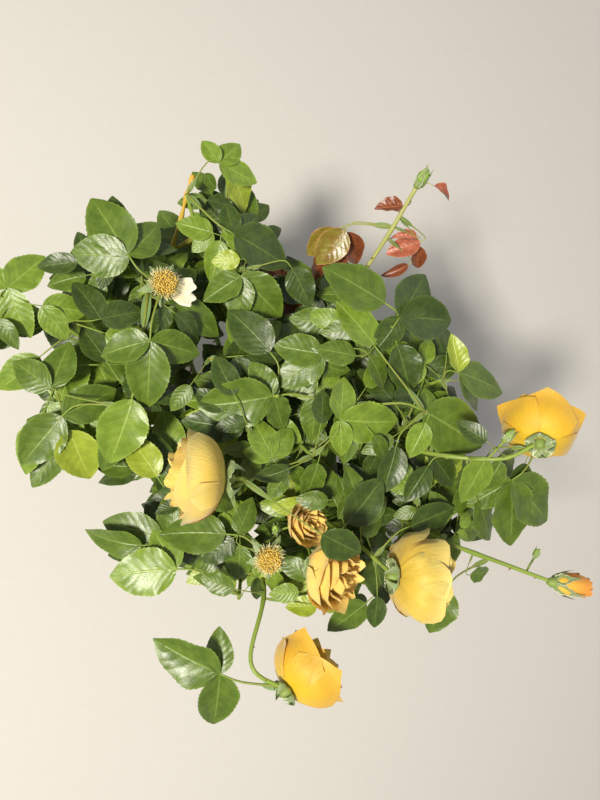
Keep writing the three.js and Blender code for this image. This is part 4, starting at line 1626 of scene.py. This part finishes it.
def set_out_leaf(
    root: Array, end: Array, level: Array, roll: float, size: float, pairs: int, clear: Test,
) -> Leaf | None:
    """Sets out a compound leaf if its stalk and end leaflet have room.

    Args:
        root: where the stalk leaves the shoot.
        end: its upper joint.
        level: the direction of the end leaflet.
        roll: how far the blades roll about it, in radians.
        size: the leaf's size.
        pairs: pairs of side leaflets.
        clear: tells whether points have room.

    Returns:
        The leaf with every side leaflet that has room, or None.
    """
    normal = face_up(level, roll)
    length = LEAFLET_LENGTH * size
    terminal = Leaflet(end, level, normal, length)
    leaf = Leaf(root, end, normal, [terminal])
    if not clear(leaf.stalk_posts()) or not clear(terminal.tests()):
        return None
    for share, scale in PAIRS[2 - pairs:]:
        for hand in (1, -1):
            outward = turned(level, normal, hand * math.radians(PAIR_ANGLE))
            side_leaflet = Leaflet(lerp(root, end, share), outward, normal, length * scale, share)
            if clear(side_leaflet.tests()):
                leaf.leaflets.append(side_leaflet)
    return leaf


@dataclass
class Crown:
    """All masses, the leaves that the photograph shows, and the finer leaves that fill the crown."""

    SIGHT_REACH = 8.0
    BLOOM_SIGHT = 30.0
    BUD_SIGHT = 12.0
    BLOOM_REACH = 25.0
    HEAD_SHARE = 0.92
    SHOOT_SHARE = 0.6
    STEM_SIGHT = 5.0
    STEM_SIGHT_FIRST = 0.5
    SIGHT_STEP = 12.0
    BOX_GROWTH = 4.0
    FRONT_LINE = -100.0
    LOW_LINE = 400.0
    TINT_SHARES = (0.34, 0.8, 0.97)
    LOW_FRONT_SHARES = (0.2, 0.55, 0.85)

    limbs: dict[str, Limb]
    masses: list[Mass] = field(default_factory=list)
    common: Space = field(default_factory=lambda: Space(np.zeros((0, 3)), np.zeros(0)))
    sights: Space = field(default_factory=lambda: Space(np.zeros((0, 3)), np.zeros(0)))

    def grow(self) -> None:
        """Grows shoots and leaves in their order: the solids' own, those seen, and the finer ones."""
        self.masses = [Mass(plan, index, self.limbs) for index, plan in enumerate(MASSES)]
        for mass in self.masses:
            mass.grow_shoots()
            mass.grow_leaves()
        for limb in self.limbs.values():
            limb.fill(self.common)
        for mass in self.masses:
            for shoot in mass.shoots:
                self.common.fill(shoot.curve.posts(SHOOT_POSTS), SHOOT_MARGIN * self.SHOOT_SHARE)
        self.keep_sights()
        self.place_seen()
        for mass in self.masses:
            mass.leaves = [leaf for leaf in mass.leaves if self.still_fits(leaf) and not self.on_young(leaf)]
        for mass in self.masses:
            for leaf in mass.leaves + mass.seen:
                fill_leaf(self.common, leaf, FINE_SPACING)
        self.grow_fine()
        count = sum(len(leaf.leaflets) for mass in self.masses for leaf in mass.leaves + mass.seen)
        log.info("leaflets: %d", count)

    def keep_sights(self) -> None:
        """Keeps the line from the camera to every bloom and bud free."""
        for place, reach in head_rooms():
            self.common.fill(place[None], reach * self.HEAD_SHARE)
            width = self.BLOOM_SIGHT if reach > self.BLOOM_REACH else self.BUD_SIGHT
            self.sights.fill(self.toward_eye(place[None]), width)
        for extra in EXTRAS:
            self.sights.fill(self.toward_eye(picture_point(*extra.pixel, extra.height)[None]), self.BUD_SIGHT)
        for shoot in (shoot for mass in self.masses for shoot in mass.shoots if shoot.plan.bears):
            posts = shoot.curve.at(np.linspace(self.STEM_SIGHT_FIRST, 1, SHOOT_POSTS))
            self.sights.fill(self.toward_eye(posts), self.STEM_SIGHT)
        heights = np.arange(SIGHT_FLOOR, SIGHT_CEILING, self.SIGHT_STEP)
        for pixel, reach in OPEN_SIGHTS:
            self.sights.fill(np.array([picture_point(*pixel, height) for height in heights]), reach)

    def toward_eye(self, places: Array) -> Array:
        """Returns points on the way from each place to the camera."""
        steps = np.array(SIGHT_STEPS)[:, None, None]
        return (places + unit(EYE - places) * steps).reshape(-1, 3)

    def place_seen(self) -> None:
        """Sets out the leaves of the photograph, each on the shoot nearest to the foot of its stalk."""
        for seen in SEEN_LEAVES:
            joint = picture_point(*seen.joint, seen.height)
            tips = [picture_point(*tip, seen.tip_height) for tip in seen.tips]
            length = float(np.linalg.norm(tips[0] - joint))
            level = unit(tips[0] - joint)
            foot = joint - level * SHORT_STALK * length / LEAFLET_LENGTH
            mass, root = self.nearest_shoot(foot)
            knee = lerp(lerp(root, joint, 0.55), lerp(foot, joint, 0.6), 0.7)
            roll = mass.fine.between(-SEEN_ROLL, SEEN_ROLL)
            blades = [Leaflet(joint, unit(tip - joint), face_up(unit(tip - joint), roll),
                              float(np.linalg.norm(tip - joint))) for tip in tips]
            leaf = Leaf(root, joint, face_up(level, roll), blades, knee, seen.tint, seen.fold,
                        breadth=SEEN_BREADTH)
            mass.seen.append(leaf)
            for leaflet in leaf.leaflets:
                self.sights.fill(self.toward_eye(leaflet.tests()), self.SIGHT_REACH)
                self.sights.fill(leaflet.tests(), FINE_SPACING)

    def nearest_shoot(self, place: Array) -> tuple[Mass, Array]:
        """Finds where something grows from.

        Args:
            place: where its foot would best be.

        Returns:
            The mass and the point on one of its shoots that is nearest.
        """
        found = []
        for mass in self.masses:
            for shoot in mass.shoots:
                posts = shoot.curve.posts(SHOOT_POSTS)[4:]
                gaps = np.linalg.norm(posts - place, axis=1)
                found.append((gaps.min(), mass, posts[gaps.argmin()]))
        _, mass, root = min(found, key=lambda item: item[0])
        return mass, root

    def still_fits(self, leaf: Leaf) -> bool:
        """Drops side leaflets that hide a seen leaf or bloom, and returns whether the leaf may stay."""
        if not self.sights.free(leaf.leaflets[0].tests()):
            return False
        leaf.leaflets = [leaflet for leaflet in leaf.leaflets if self.sights.free(leaflet.tests())]
        return True

    def on_young(self, leaf: Leaf) -> bool:
        """Returns whether a leaf grows on a young shoot."""
        return any(
            np.linalg.norm(shoot.curve.posts(SHOOT_POSTS) - leaf.root, axis=1).min() < SHOOT_MARGIN
            for mass in self.masses for shoot in mass.shoots if shoot.plan.young)

    def grow_fine(self) -> None:
        """Grows smaller leaves between the others, up to the reach of the solids."""
        low, high = (np.array(corner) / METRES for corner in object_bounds())
        low -= self.BOX_GROWTH
        high += self.BOX_GROWTH
        for number in range(FINE_ROUNDS):
            offset = (number + 1) / (FINE_ROUNDS + 1)
            for mass in self.masses:

                def clear(points: Array, mass: Mass = mass) -> bool:
                    """Returns whether points are in the plant's box, near the mass's space and free."""
                    inside = (points > low).all() and (points < high).all()
                    return inside and mass.space.holds(points, FINE_WALL_REACH) and (
                        self.sights.free(points) and self.common.free(points))

                for shoot in (shoot for shoot in mass.shoots if not shoot.plan.young):
                    for order in range(-1, shoot.plan.leaves + 1):
                        leaf = mass.grow_leaf(shoot, order + offset, mass.fine, FINE_LEAF_SIZE, clear)
                        if leaf:
                            leaf.sag = mass.fine.between(0.05, 0.3)
                            mass.leaves.append(leaf)
                            fill_leaf(self.common, leaf, FINE_SPACING)

    def tint(self, mass: Mass, leaf: Leaf) -> Tint:
        """Deals a leaf its tint, which is partly its own green and partly painted light: painted shade in the
        deep tint, painted sunlight and sheen in the light one, painted light through the blade in the lime
        one.

        Args:
            mass: the mass that it grows in.
            leaf: the leaf.

        Returns:
            A tint: light ones are more frequent low in front, as in the photograph.
        """
        roll = mass.fine.roll()
        low_front = mass.plan.heart[1] < self.FRONT_LINE and leaf.end[2] < self.LOW_LINE
        shares = self.LOW_FRONT_SHARES if low_front else self.TINT_SHARES
        for tint, share in zip((Tint.DEEP, Tint.GREEN, Tint.LIGHT), shares):
            if roll < share:
                return tint
        return Tint.LIME

    def dress(self) -> None:
        """Makes every mass's twigs and leaves."""
        blade = BladeForm()
        for mass in self.masses:
            for leaf in mass.leaves:
                tint = self.tint(mass, leaf)
                leaf.tint = Tint.BRONZE if self.on_young(leaf) else tint
            mass.dress(blade)


@dataclass(frozen=True)
class PetalRing:
    """A ring of like petals: how far and how high the rim stands, the petals' width, and how they curl."""

    count: int
    spread: float
    height: float
    width: float
    reflex: float
    turn: float
    cup: float = 1.9
    point: float = 0.05
    ruffle: float = 1.2


BLOOM_RINGS = (
    PetalRing(5, 38.5, 36, 92, 3.5, 0, 2.3, 0.1, 1.0),
    PetalRing(5, 32.0, 42, 74, 2.6, 38, 2.1, 0.05, 1.2),
    PetalRing(5, 25.0, 46, 52, 1.6, 12, 1.8),
    PetalRing(5, 18.0, 49, 37, 0.9, 55, 1.6),
    PetalRing(4, 11.5, 48, 27, 0.4, 20, 1.5, 0.04, 0.9),
    PetalRing(3, 6.0, 47, 17, 0.2, 70, 1.4, 0.03, 0.6),
)
COLOUR_BUD_RINGS = (
    PetalRing(3, 12.0, 31, 38, 0.5, 0, 3.2, 0.08, 0.4),
    PetalRing(3, 9.5, 35, 30, 0.3, 60, 3.0, 0.08, 0.4),
    PetalRing(3, 6.0, 37, 19, 0.2, 25, 2.6, 0.08, 0.3),
)


@dataclass(frozen=True)
class SepalForm:
    """Sizes of a flower's sepals. How far they reach out, up and back are shares of their length.

    A clasp of 0 leaves the tips furthest out, and 1 brings them back to the stalk.
    """

    length: float
    width: float
    reach: float
    rise: float
    back: float
    foot: float
    clasp: float = 0.0


SEPALS = {
    Flower.BLOOM: SepalForm(31, 17.0, 0.33, 0.02, 0.45, 6.4, 0.7),
    Flower.COLOUR_BUD: SepalForm(29, 12.0, 0.32, 0.8, -0.05, 4.8),
    Flower.GREEN_BUD: SepalForm(18, 8.0, 0.08, 1.0, -0.02, 4.2),
    Flower.SPENT: SepalForm(24, 8.0, 0.8, 0.0, 0.35, 5.0),
}
# Radius and length of the hip under each kind of flower
HIPS = {
    Flower.BLOOM: (6.0, 8.0),
    Flower.COLOUR_BUD: (5.4, 8.0),
    Flower.GREEN_BUD: (4.4, 4.0),
    Flower.SPENT: (6.4, 8.0),
}


@dataclass(frozen=True)
class Extra:
    """A small head beside the main ones: what it is, its pixel and height, where it faces and its size."""

    name: str
    kind: Flower
    pixel: Pair
    height: float
    faces: Triple
    size: float


@dataclass(frozen=True)
class BloomLook:
    """How one bloom is coloured and turned, and how pointed, ruffled, folded, big and flat it is."""

    finishes: tuple[str, str]
    turn: float = 0.0
    point: float = 1.0
    ruffle: float = 1.0
    folds: float = 0.4
    size: float = 1.0
    bowl: float = 1.0
    faces: Triple | None = None
    shoulder: float = 0.3


FRINGE_RING = PetalRing(44, 13.5, 5, 1.4, 0.3, 0, 1.3, 0.4, 0.8)
FADED_PETAL = PetalRing(1, 30, 7, 20, 2.0, 0, 1.5, 0.0, 1.4)
FADED_BEARINGS = {"spent_1_upper_left": (150.0, 178.0)}
PLAIN_LOOK = BloomLook(("petal_outer", "petal_outer"))
EXTRA_LOOK = BloomLook(("petal_peach", "petal_peach"), 0, 1.0, 1.6, 0.8)
BUD_LOOK = BloomLook(("petal_bud", "petal_bud"))
FADED_LOOK = BloomLook(("petal_faded", "petal_faded"))
FRINGE_LOOK = BloomLook(("petal_fringe", "petal_fringe"))
BLOOM_LOOKS = {
    # This bloom's gold finish is partly a painted glow of light shining through its petals from behind
    "foliage_right_0": BloomLook(("petal_gold", "petal_inner"), 10, 1.2, 1.0, 0.4, 0.92, shoulder=0.26),
    "foliage_front_left_0": BloomLook(("petal_gold", "petal_inner"), 52, 1.6, 0.8, 0.4, 0.97, shoulder=0.22),
    "foliage_near_left_0": BloomLook(
        ("petal_outer", "petal_inner"), 0, 0.4, 1.4, 0.6, 1.0, 1.2, shoulder=0.2),
    "foliage_front_0": BloomLook(
        ("petal_pale", "petal_inner"), 66, 0.2, 3.0, 2.2, 1.06, 1.7, (1.0, -0.1, -0.06)),
    "foliage_front_1": BloomLook(
        ("petal_peach", "petal_peach"), 100, 1.6, 2.6, 1.0, 0.94, 1.3, (0.62, -0.1, 0.72)),
}
# The dying tip: pixels that it passes, each with its height
DYING_TIP = (((174, 247), 352), ((181, 219), 372), ((187, 194), 386), ((193, 175), 392))
EXTRAS = (
    Extra("rose_behind", Flower.BLOOM, (296, 526), 408, (0.5, 0.3, 0.8), 0.56),
    Extra("bud_beside_rose", Flower.GREEN_BUD, (505, 440), 486, (0.6, 0.7, 0.2), 0.8),
    Extra("pale_bud", Flower.GREEN_BUD, (535, 556), 436, (0.1, 0.7, 0.4), 0.6),
    Extra("small_hip", Flower.GREEN_BUD, (276, 532), 400, (-0.2, 0.6, 0.6), 0.7),
)


@dataclass
class Head:
    """Anything borne on a shoot's tip, in its own axes: the last one points where the flower faces."""

    CLAW = 3.0
    SEPAL_COUNT = 5
    CUSHION = 5.5
    GOLDEN_ANGLE = 2.39996

    name: str
    tip: Array
    axes: Array
    size: float
    dice: Dice

    @classmethod
    def facing(cls, name: str, tip: Array, faces: Array, size: float, seed: int, turn: float = 0.0) -> Self:
        """Sets a head on its stem.

        Args:
            name: what its pieces' names start with.
            tip: where its stem ends.
            faces: where its axis points.
            size: its scale.
            seed: the seed of its dice.
            turn: degrees that it is turned about its axis.

        Returns:
            The head.
        """
        axis = unit(faces)
        reference = BACK if abs(axis[2]) > 0.9 else UP
        side = turned(unit(np.cross(axis, reference)), axis, math.radians(turn))
        return cls(name, tip, np.array([side, np.cross(axis, side), axis]), size, Dice(seed))

    def out(self, local: Array) -> Array:
        """Returns points of the head's own space in the plant's."""
        return self.tip + (local * self.size) @ self.axes

    def petal(self, ring: PetalRing, azimuth: float, finish: str, look: BloomLook) -> Patch:
        """Makes one petal.

        At share t from claw to rim and s from margin to margin, the petal has gone a share
        u = t (1 - shoulder |s|^3) + point t^5 (1 - |s|)^3 of its way. There it stands
        r = claw + (spread - claw) (1 - (1 - u)^cup) from the axis and u^1.45 of the height up. Its half
        width goes with t^0.6 (1 - 0.2 t^3) and is wrapped round the axis. Rim and margins roll outward and
        ripple, and folds run lengthwise.

        Args:
            ring: the sizes.
            azimuth: the petal's bearing round the axis, in radians.
            finish: the petal's finish.
            look: how pointed and how ruffled the bloom is.

        Returns:
            The surface.
        """
        dice = self.dice
        spread = ring.spread * dice.between(0.92, 1.04)
        height = ring.height * dice.between(0.93, 1.04)
        phase = dice.roll()
        lean = dice.between(-2.5, 2.5)
        t = np.linspace(0, 1, 15)[:, None]
        s = np.linspace(-1, 1, 13)[None]
        u = t * (1 - look.shoulder * np.abs(s) ** 3) + look.point * ring.point * t**5 * (1 - np.abs(s)) ** 3
        cup = ring.cup * look.bowl
        r = self.CLAW + (spread - self.CLAW) * (1 - np.clip(1 - u, 0, 1) ** cup + np.clip(u - 1, 0, 1))
        half = ring.width / 2 * t**0.6 * (1 - 0.2 * t**3) + 0.6
        wrap = np.clip(half / np.maximum(r, 4.0), 0, 1.4)
        roll = np.clip((u - 0.7) / 0.3, 0, 1.4) ** 2
        edge = np.abs(s) ** 4 * t**2
        wave = look.ruffle * ring.ruffle * t**2 * np.sin(math.tau * (0.9 * s + phase))
        wave = wave + look.folds * np.sin(math.pi * t**0.8) * np.sin(math.tau * (2.4 * s + 2 * phase))
        out = r + ring.reflex * (0.8 * roll + 0.7 * edge) + 1.5 * s * t + wave
        up = height * u**1.45 - ring.reflex * (0.6 * roll + 0.4 * edge) + 0.5 * wave + lean * s * t
        angle = azimuth + s * wrap
        points = np.stack([out * np.cos(angle), out * np.sin(angle), up + 0 * s], axis=-1)
        return sheet(self.out(points), finish)

    def petals(self, rings: tuple[PetalRing, ...], look: BloomLook) -> list[Patch]:
        """Makes the petals of all rings: the first finish on the two outer rings, the second further in.

        Args:
            rings: the rings, from the outside in.
            look: the finishes and the shape.

        Returns:
            One surface for each petal.
        """
        made = []
        for number, ring in enumerate(rings):
            for index in range(ring.count):
                azimuth = math.radians(ring.turn + 360 * index / ring.count) + self.dice.between(-0.12, 0.12)
                made.append(self.petal(ring, azimuth, look.finishes[0 if number < 2 else 1], look))
        return made

    def lathed(self, radius: Array, height: Array, sides: int, finish: str) -> Patch:
        """Turns a profile about the head's axis.

        Args:
            radius: the radius of each ring, from the foot up.
            height: its height on the axis.
            sides: points in a ring.
            finish: the finish of the skin.

        Returns:
            The closed surface.
        """
        angle = ring_angles(sides)
        radius, height = radius[:, None], height[:, None]
        rings = np.stack([radius * np.cos(angle), radius * np.sin(angle), height + 0 * angle], axis=-1)
        return closed(self.out(rings), finish)

    def hip(self, radius: float, length: float) -> Patch:
        """Returns the green hip under the flower: a profile turned about the axis, from the stalk up."""
        t = np.linspace(0, 1, 12)
        bulge = 1.5 + (radius - 1.5) * np.sin(math.pi * np.clip(0.08 + 0.6 * t, 0, 1)) ** 0.8
        return self.lathed(bulge, -length + (length + 2) * t, 18, "hip")

    def bud(self, radius: float, height: float) -> Patch:
        """Returns a closed green bud: a turned profile, full below its middle and pointed above."""
        t = np.linspace(0, 1, 16)
        bulge = 0.3 + radius * np.sin(math.pi * t**0.8) ** 0.75
        return self.lathed(bulge, height * t, 16, "green_bud")

    def boss(self, radius: float, height: float) -> Patch:
        """Returns the low pale dome that the stamens stand on: a quarter ellipse turned about the axis."""
        turn = np.linspace(0, math.pi / 2, 8)
        return self.lathed(radius * np.cos(turn) + 0.1, height * np.sin(turn), 18, "filament")

    def sepals(self, form: SepalForm) -> list[Patch]:
        """Makes the five sepals.

        At share t the sepal stands foot (1 - clasp t^2) + reach length sin(t (1 + clasp) pi / 2) from the
        axis and length (rise t - back t^2) up. Its half width goes with (1 - t)^0.8, is fullest near the
        foot, and has small side teeth.

        Args:
            form: the sizes.

        Returns:
            One surface for each sepal.
        """
        made = []
        t = np.linspace(0, 1, 14)[:, None]
        s = np.linspace(-1, 1, 5)[None]
        for index in range(self.SEPAL_COUNT):
            azimuth = math.radians(360 * index / self.SEPAL_COUNT + 20) + self.dice.between(-0.15, 0.15)
            length = form.length * self.dice.between(0.8, 1.15)
            back = form.back * self.dice.between(0.75, 1.2)
            curl = self.dice.between(-0.5, 0.5)
            teeth = 1 + 0.14 * np.sin(9 * math.pi * t) * (t < 0.7)
            full = 0.75 + 0.6 * np.sin(math.pi * np.clip(t * 1.6, 0, 1))
            half = form.width / 2 * (1 - t) ** 0.8 * full * teeth
            out = form.foot * (1 - form.clasp * t**2) + 0 * s
            out = out + form.reach * length * np.sin(t * math.pi / 2 * (1 + form.clasp))
            up = length * (form.rise * t - back * t**2) - 0.3 * np.abs(s) * half
            across = half * s + curl * 6 * t**2
            x = out * math.cos(azimuth) - across * math.sin(azimuth)
            y = out * math.sin(azimuth) + across * math.cos(azimuth)
            made.append(sheet(self.out(np.stack([x, y, up], axis=-1)), "sepal"))
        return made

    def stamens(self, count: int, length: float, spread: float, bare: float) -> list[Patch]:
        """Makes the stamens, spread like a sunflower's seeds and bent inward.

        Args:
            count: how many.
            length: a filament's length.
            spread: how far the outermost lean out, in radians.
            bare: share of them, on the outside, that have lost their anthers.

        Returns:
            The filaments and anthers.
        """
        made = []
        for number in range(count):
            share = math.sqrt((number + 0.5) / count)
            azimuth = number * self.GOLDEN_ANGLE
            tilt = spread * share + self.dice.between(-0.12, 0.12)
            long = length * self.dice.between(0.75, 1.1) * (0.75 + 0.45 * share)
            ring = np.array([math.cos(azimuth), math.sin(azimuth)])
            t = np.linspace(0, 1, 4)[:, None]
            lean = tilt * (1 - 0.3 * t)
            out = self.CUSHION * share + long * t * np.sin(lean)
            line = self.out(np.hstack([out * ring, 1 + long * t * np.cos(lean)]))
            made.append(tube(line, 0.36 * self.size, 3, "filament"))
            if share**2 < 1 - bare:
                top = line[-1] + unit(line[-1] - line[-2]) * np.linspace(-0.7, 1.5, 4)[:, None]
                made.append(tube(top, np.array([0.25, 0.8, 0.85, 0.2]) * self.size, 5, "anther"))
        return made


@dataclass
class Blossom:
    """All blooms, buds and spent flowers."""

    HEAD_SEED = 90
    EXTRA_SEED = 130
    NECK = 22.0
    DROP = 30.0

    crown: Crown

    def dress(self) -> None:
        """Makes two pieces for each head: its petals or stamens, and its green parts."""
        number = 0
        for mass in self.crown.masses:
            for index, shoot in enumerate(mass.shoots):
                plan = shoot.plan
                if not plan.bears:
                    continue
                number += 1
                name = f"{plan.bears.value}_{number}_{mass.plan.name.removeprefix('foliage_')}"
                look = BLOOM_LOOKS.get(f"{mass.plan.name}_{index}", PLAIN_LOOK)
                tip = np.array(plan.tip, float)
                faces = np.array(look.faces or plan.faces, float)
                size = plan.head_size * look.size
                head = Head.facing(name, tip, faces, size, self.HEAD_SEED + number, look.turn)
                self.dress_head(head, plan.bears, look)
        for index, extra in enumerate(EXTRAS):
            tip = picture_point(*extra.pixel, extra.height)
            faces = np.array(extra.faces)
            head = Head.facing(extra.name, tip, faces, extra.size, self.EXTRA_SEED + index)
            self.dress_head(head, extra.kind, EXTRA_LOOK, self.stem(tip, faces))
        self.dying_tip()

    def dying_tip(self) -> None:
        """Makes the yellowing shoot tip that dies back, from the nearest shoot up."""
        path = np.array([picture_point(*place, height) for place, height in DYING_TIP])
        _, root = self.crown.nearest_shoot(path[0])
        line = SmoothCurve(np.array([root, *path])).posts(24)
        girth = np.linspace(2.6, 2.0, len(line)) + 0.6 * np.sin(np.linspace(0, 9 * math.pi, len(line)))
        sheaf = Sheaf("dying_tip", "cane")
        sheaf.add(tube(line, np.clip(girth, 1.2, 3.2), 8, "dying"))
        sheaf.write()

    def stem(self, tip: Array, faces: Array) -> Patch:
        """Makes a thin stem, from the shoot nearest to a point below the head's neck.

        Args:
            tip: where it ends.
            faces: where the head faces.

        Returns:
            The closed surface.
        """
        back = tip - unit(faces) * self.NECK
        _, root = self.crown.nearest_shoot(back - UP * self.DROP)
        line = SmoothCurve(np.array([root, lerp(root, back, 0.6) + UP * 3, back, tip])).posts(20)
        return tube(line, np.linspace(1.5, 1.1, len(line)), 7, "shoot")

    def spent_parts(self, head: Head) -> list[Patch]:
        """Makes a spent flower's stamens, the fringe and the boss under them, and its faded petals.

        Args:
            head: its place and axes.

        Returns:
            The surfaces.
        """
        parts = head.stamens(count=220, length=11, spread=1.25, bare=0.4)
        parts += head.petals((FRINGE_RING,), FRINGE_LOOK)
        parts.append(head.boss(radius=8.5, height=6.0))
        for bearing in FADED_BEARINGS.get(head.name, ()):
            parts.append(head.petal(FADED_PETAL, math.radians(bearing), "petal_faded", FADED_LOOK))
        return parts

    def dress_head(self, head: Head, kind: Flower, look: BloomLook, stem: Patch | None = None) -> None:
        """Makes one head's two pieces: its green parts and its coloured ones.

        Args:
            head: its place and axes.
            kind: what it is.
            look: its finishes and shape, where it is a bloom.
            stem: its own stem, where it has one.
        """
        coloured: list[Patch] = []
        buds: list[Patch] = []
        if kind is Flower.BLOOM:
            coloured = head.petals(BLOOM_RINGS, look)
        elif kind is Flower.COLOUR_BUD:
            coloured = head.petals(COLOUR_BUD_RINGS, BUD_LOOK)
        elif kind is Flower.GREEN_BUD:
            buds = [head.bud(radius=5.2, height=17)]
        else:
            coloured = self.spent_parts(head)
        stems = [stem] if stem else []
        green = [*stems, head.hip(*HIPS[kind]), *buds, *head.sepals(SEPALS[kind])]
        Sheaf(head.name + "_calyx", "foliage", green).write()
        if coloured:
            Sheaf(head.name + "_petals", "foliage", coloured).write()


@dataclass
class Stage:
    """Pale floor, soft lights and the camera at the photograph's angle."""

    floor_half: float = 6.0
    aim: Triple = (0.0, 0.0, 0.35)
    sky: tuple[float, ...] = (0.94, 0.96, 1.0, 1.0)
    sky_strength: float = 0.24

    def floor(self) -> None:
        """Makes the level floor at the height of the ground."""
        half = self.floor_half
        mesh = bpy.data.meshes.new("floor")
        corners = [(-half, -half, 0), (half, -half, 0), (half, half, 0), (-half, half, 0)]
        mesh.from_pydata(corners, [], [(0, 1, 2, 3)])
        mesh.materials.append(FloorFinish().make())
        piece = bpy.data.objects.new("floor", mesh)
        bpy.context.scene.collection.objects.link(piece)
        piece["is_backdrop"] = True

    def light(self, name: str, place: Triple, size: float, power: float, warmth: float) -> None:
        """Makes a square area light that points at the plant.

        Args:
            name: the light's name.
            place: where it stands, in metres.
            size: its side.
            power: its power in watts.
            warmth: how far its colour leans from white to warm.
        """
        data = bpy.data.lights.new(name, "AREA")
        data.size = size
        data.energy = power
        data.color = (1.0, 1.0 - 0.06 * warmth, 1.0 - 0.16 * warmth)
        lamp = bpy.data.objects.new(name, data)
        toward = Vector(np.array(self.aim) - np.array(place))
        lamp.rotation_euler = toward.to_track_quat("-Z", "Y").to_euler()
        lamp.location = place
        bpy.context.scene.collection.objects.link(lamp)

    def camera(self) -> None:
        """Makes the camera where the photograph was taken from."""
        data = bpy.data.cameras.new("camera")
        data.sensor_width = SENSOR_SIDE
        data.lens = SENSOR_SIDE * FOCUS_PIXELS / PICTURE_HEIGHT
        data.clip_start = 0.01
        camera = bpy.data.objects.new("camera", data)
        camera.location = EYE * METRES
        axes = Matrix([tuple(axis) for axis in (RIGHT, BACK, -LOOK)])
        camera.rotation_euler = axes.transposed().to_euler()
        bpy.context.scene.collection.objects.link(camera)
        bpy.context.scene.camera = camera

    def dress(self) -> None:
        """Sets the whole stage."""
        self.floor()
        self.light("key", place=(-1.3, -0.35, 2.5), size=0.4, power=79.0, warmth=1.0)
        self.light("fill", place=(1.6, 0.9, 1.8), size=2.2, power=7.0, warmth=0.0)
        world = bpy.data.worlds.new("studio")
        world.use_nodes = True
        background = world.node_tree.nodes["Background"]
        background.inputs["Color"].default_value = self.sky
        background.inputs["Strength"].default_value = self.sky_strength
        bpy.context.scene.world = world
        bpy.context.scene.view_settings.view_transform = "Standard"
        self.camera()


def main() -> None:
    """Grows and dresses the plant in order and reports each piece."""
    logging.basicConfig(level=logging.INFO, format="%(name)s: %(message)s")
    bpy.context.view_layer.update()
    limbs = set_out_limbs()
    MainStem().dress(Dice(STEM_SEED))
    for number, limb in enumerate(limbs.values()):
        limb.dress(Dice(LIMB_SEED + number))
    crown = Crown(limbs)
    crown.grow()
    crown.dress()
    Blossom(crown).dress()
    Stage().dress()


if __name__ == "__main__":
    main()
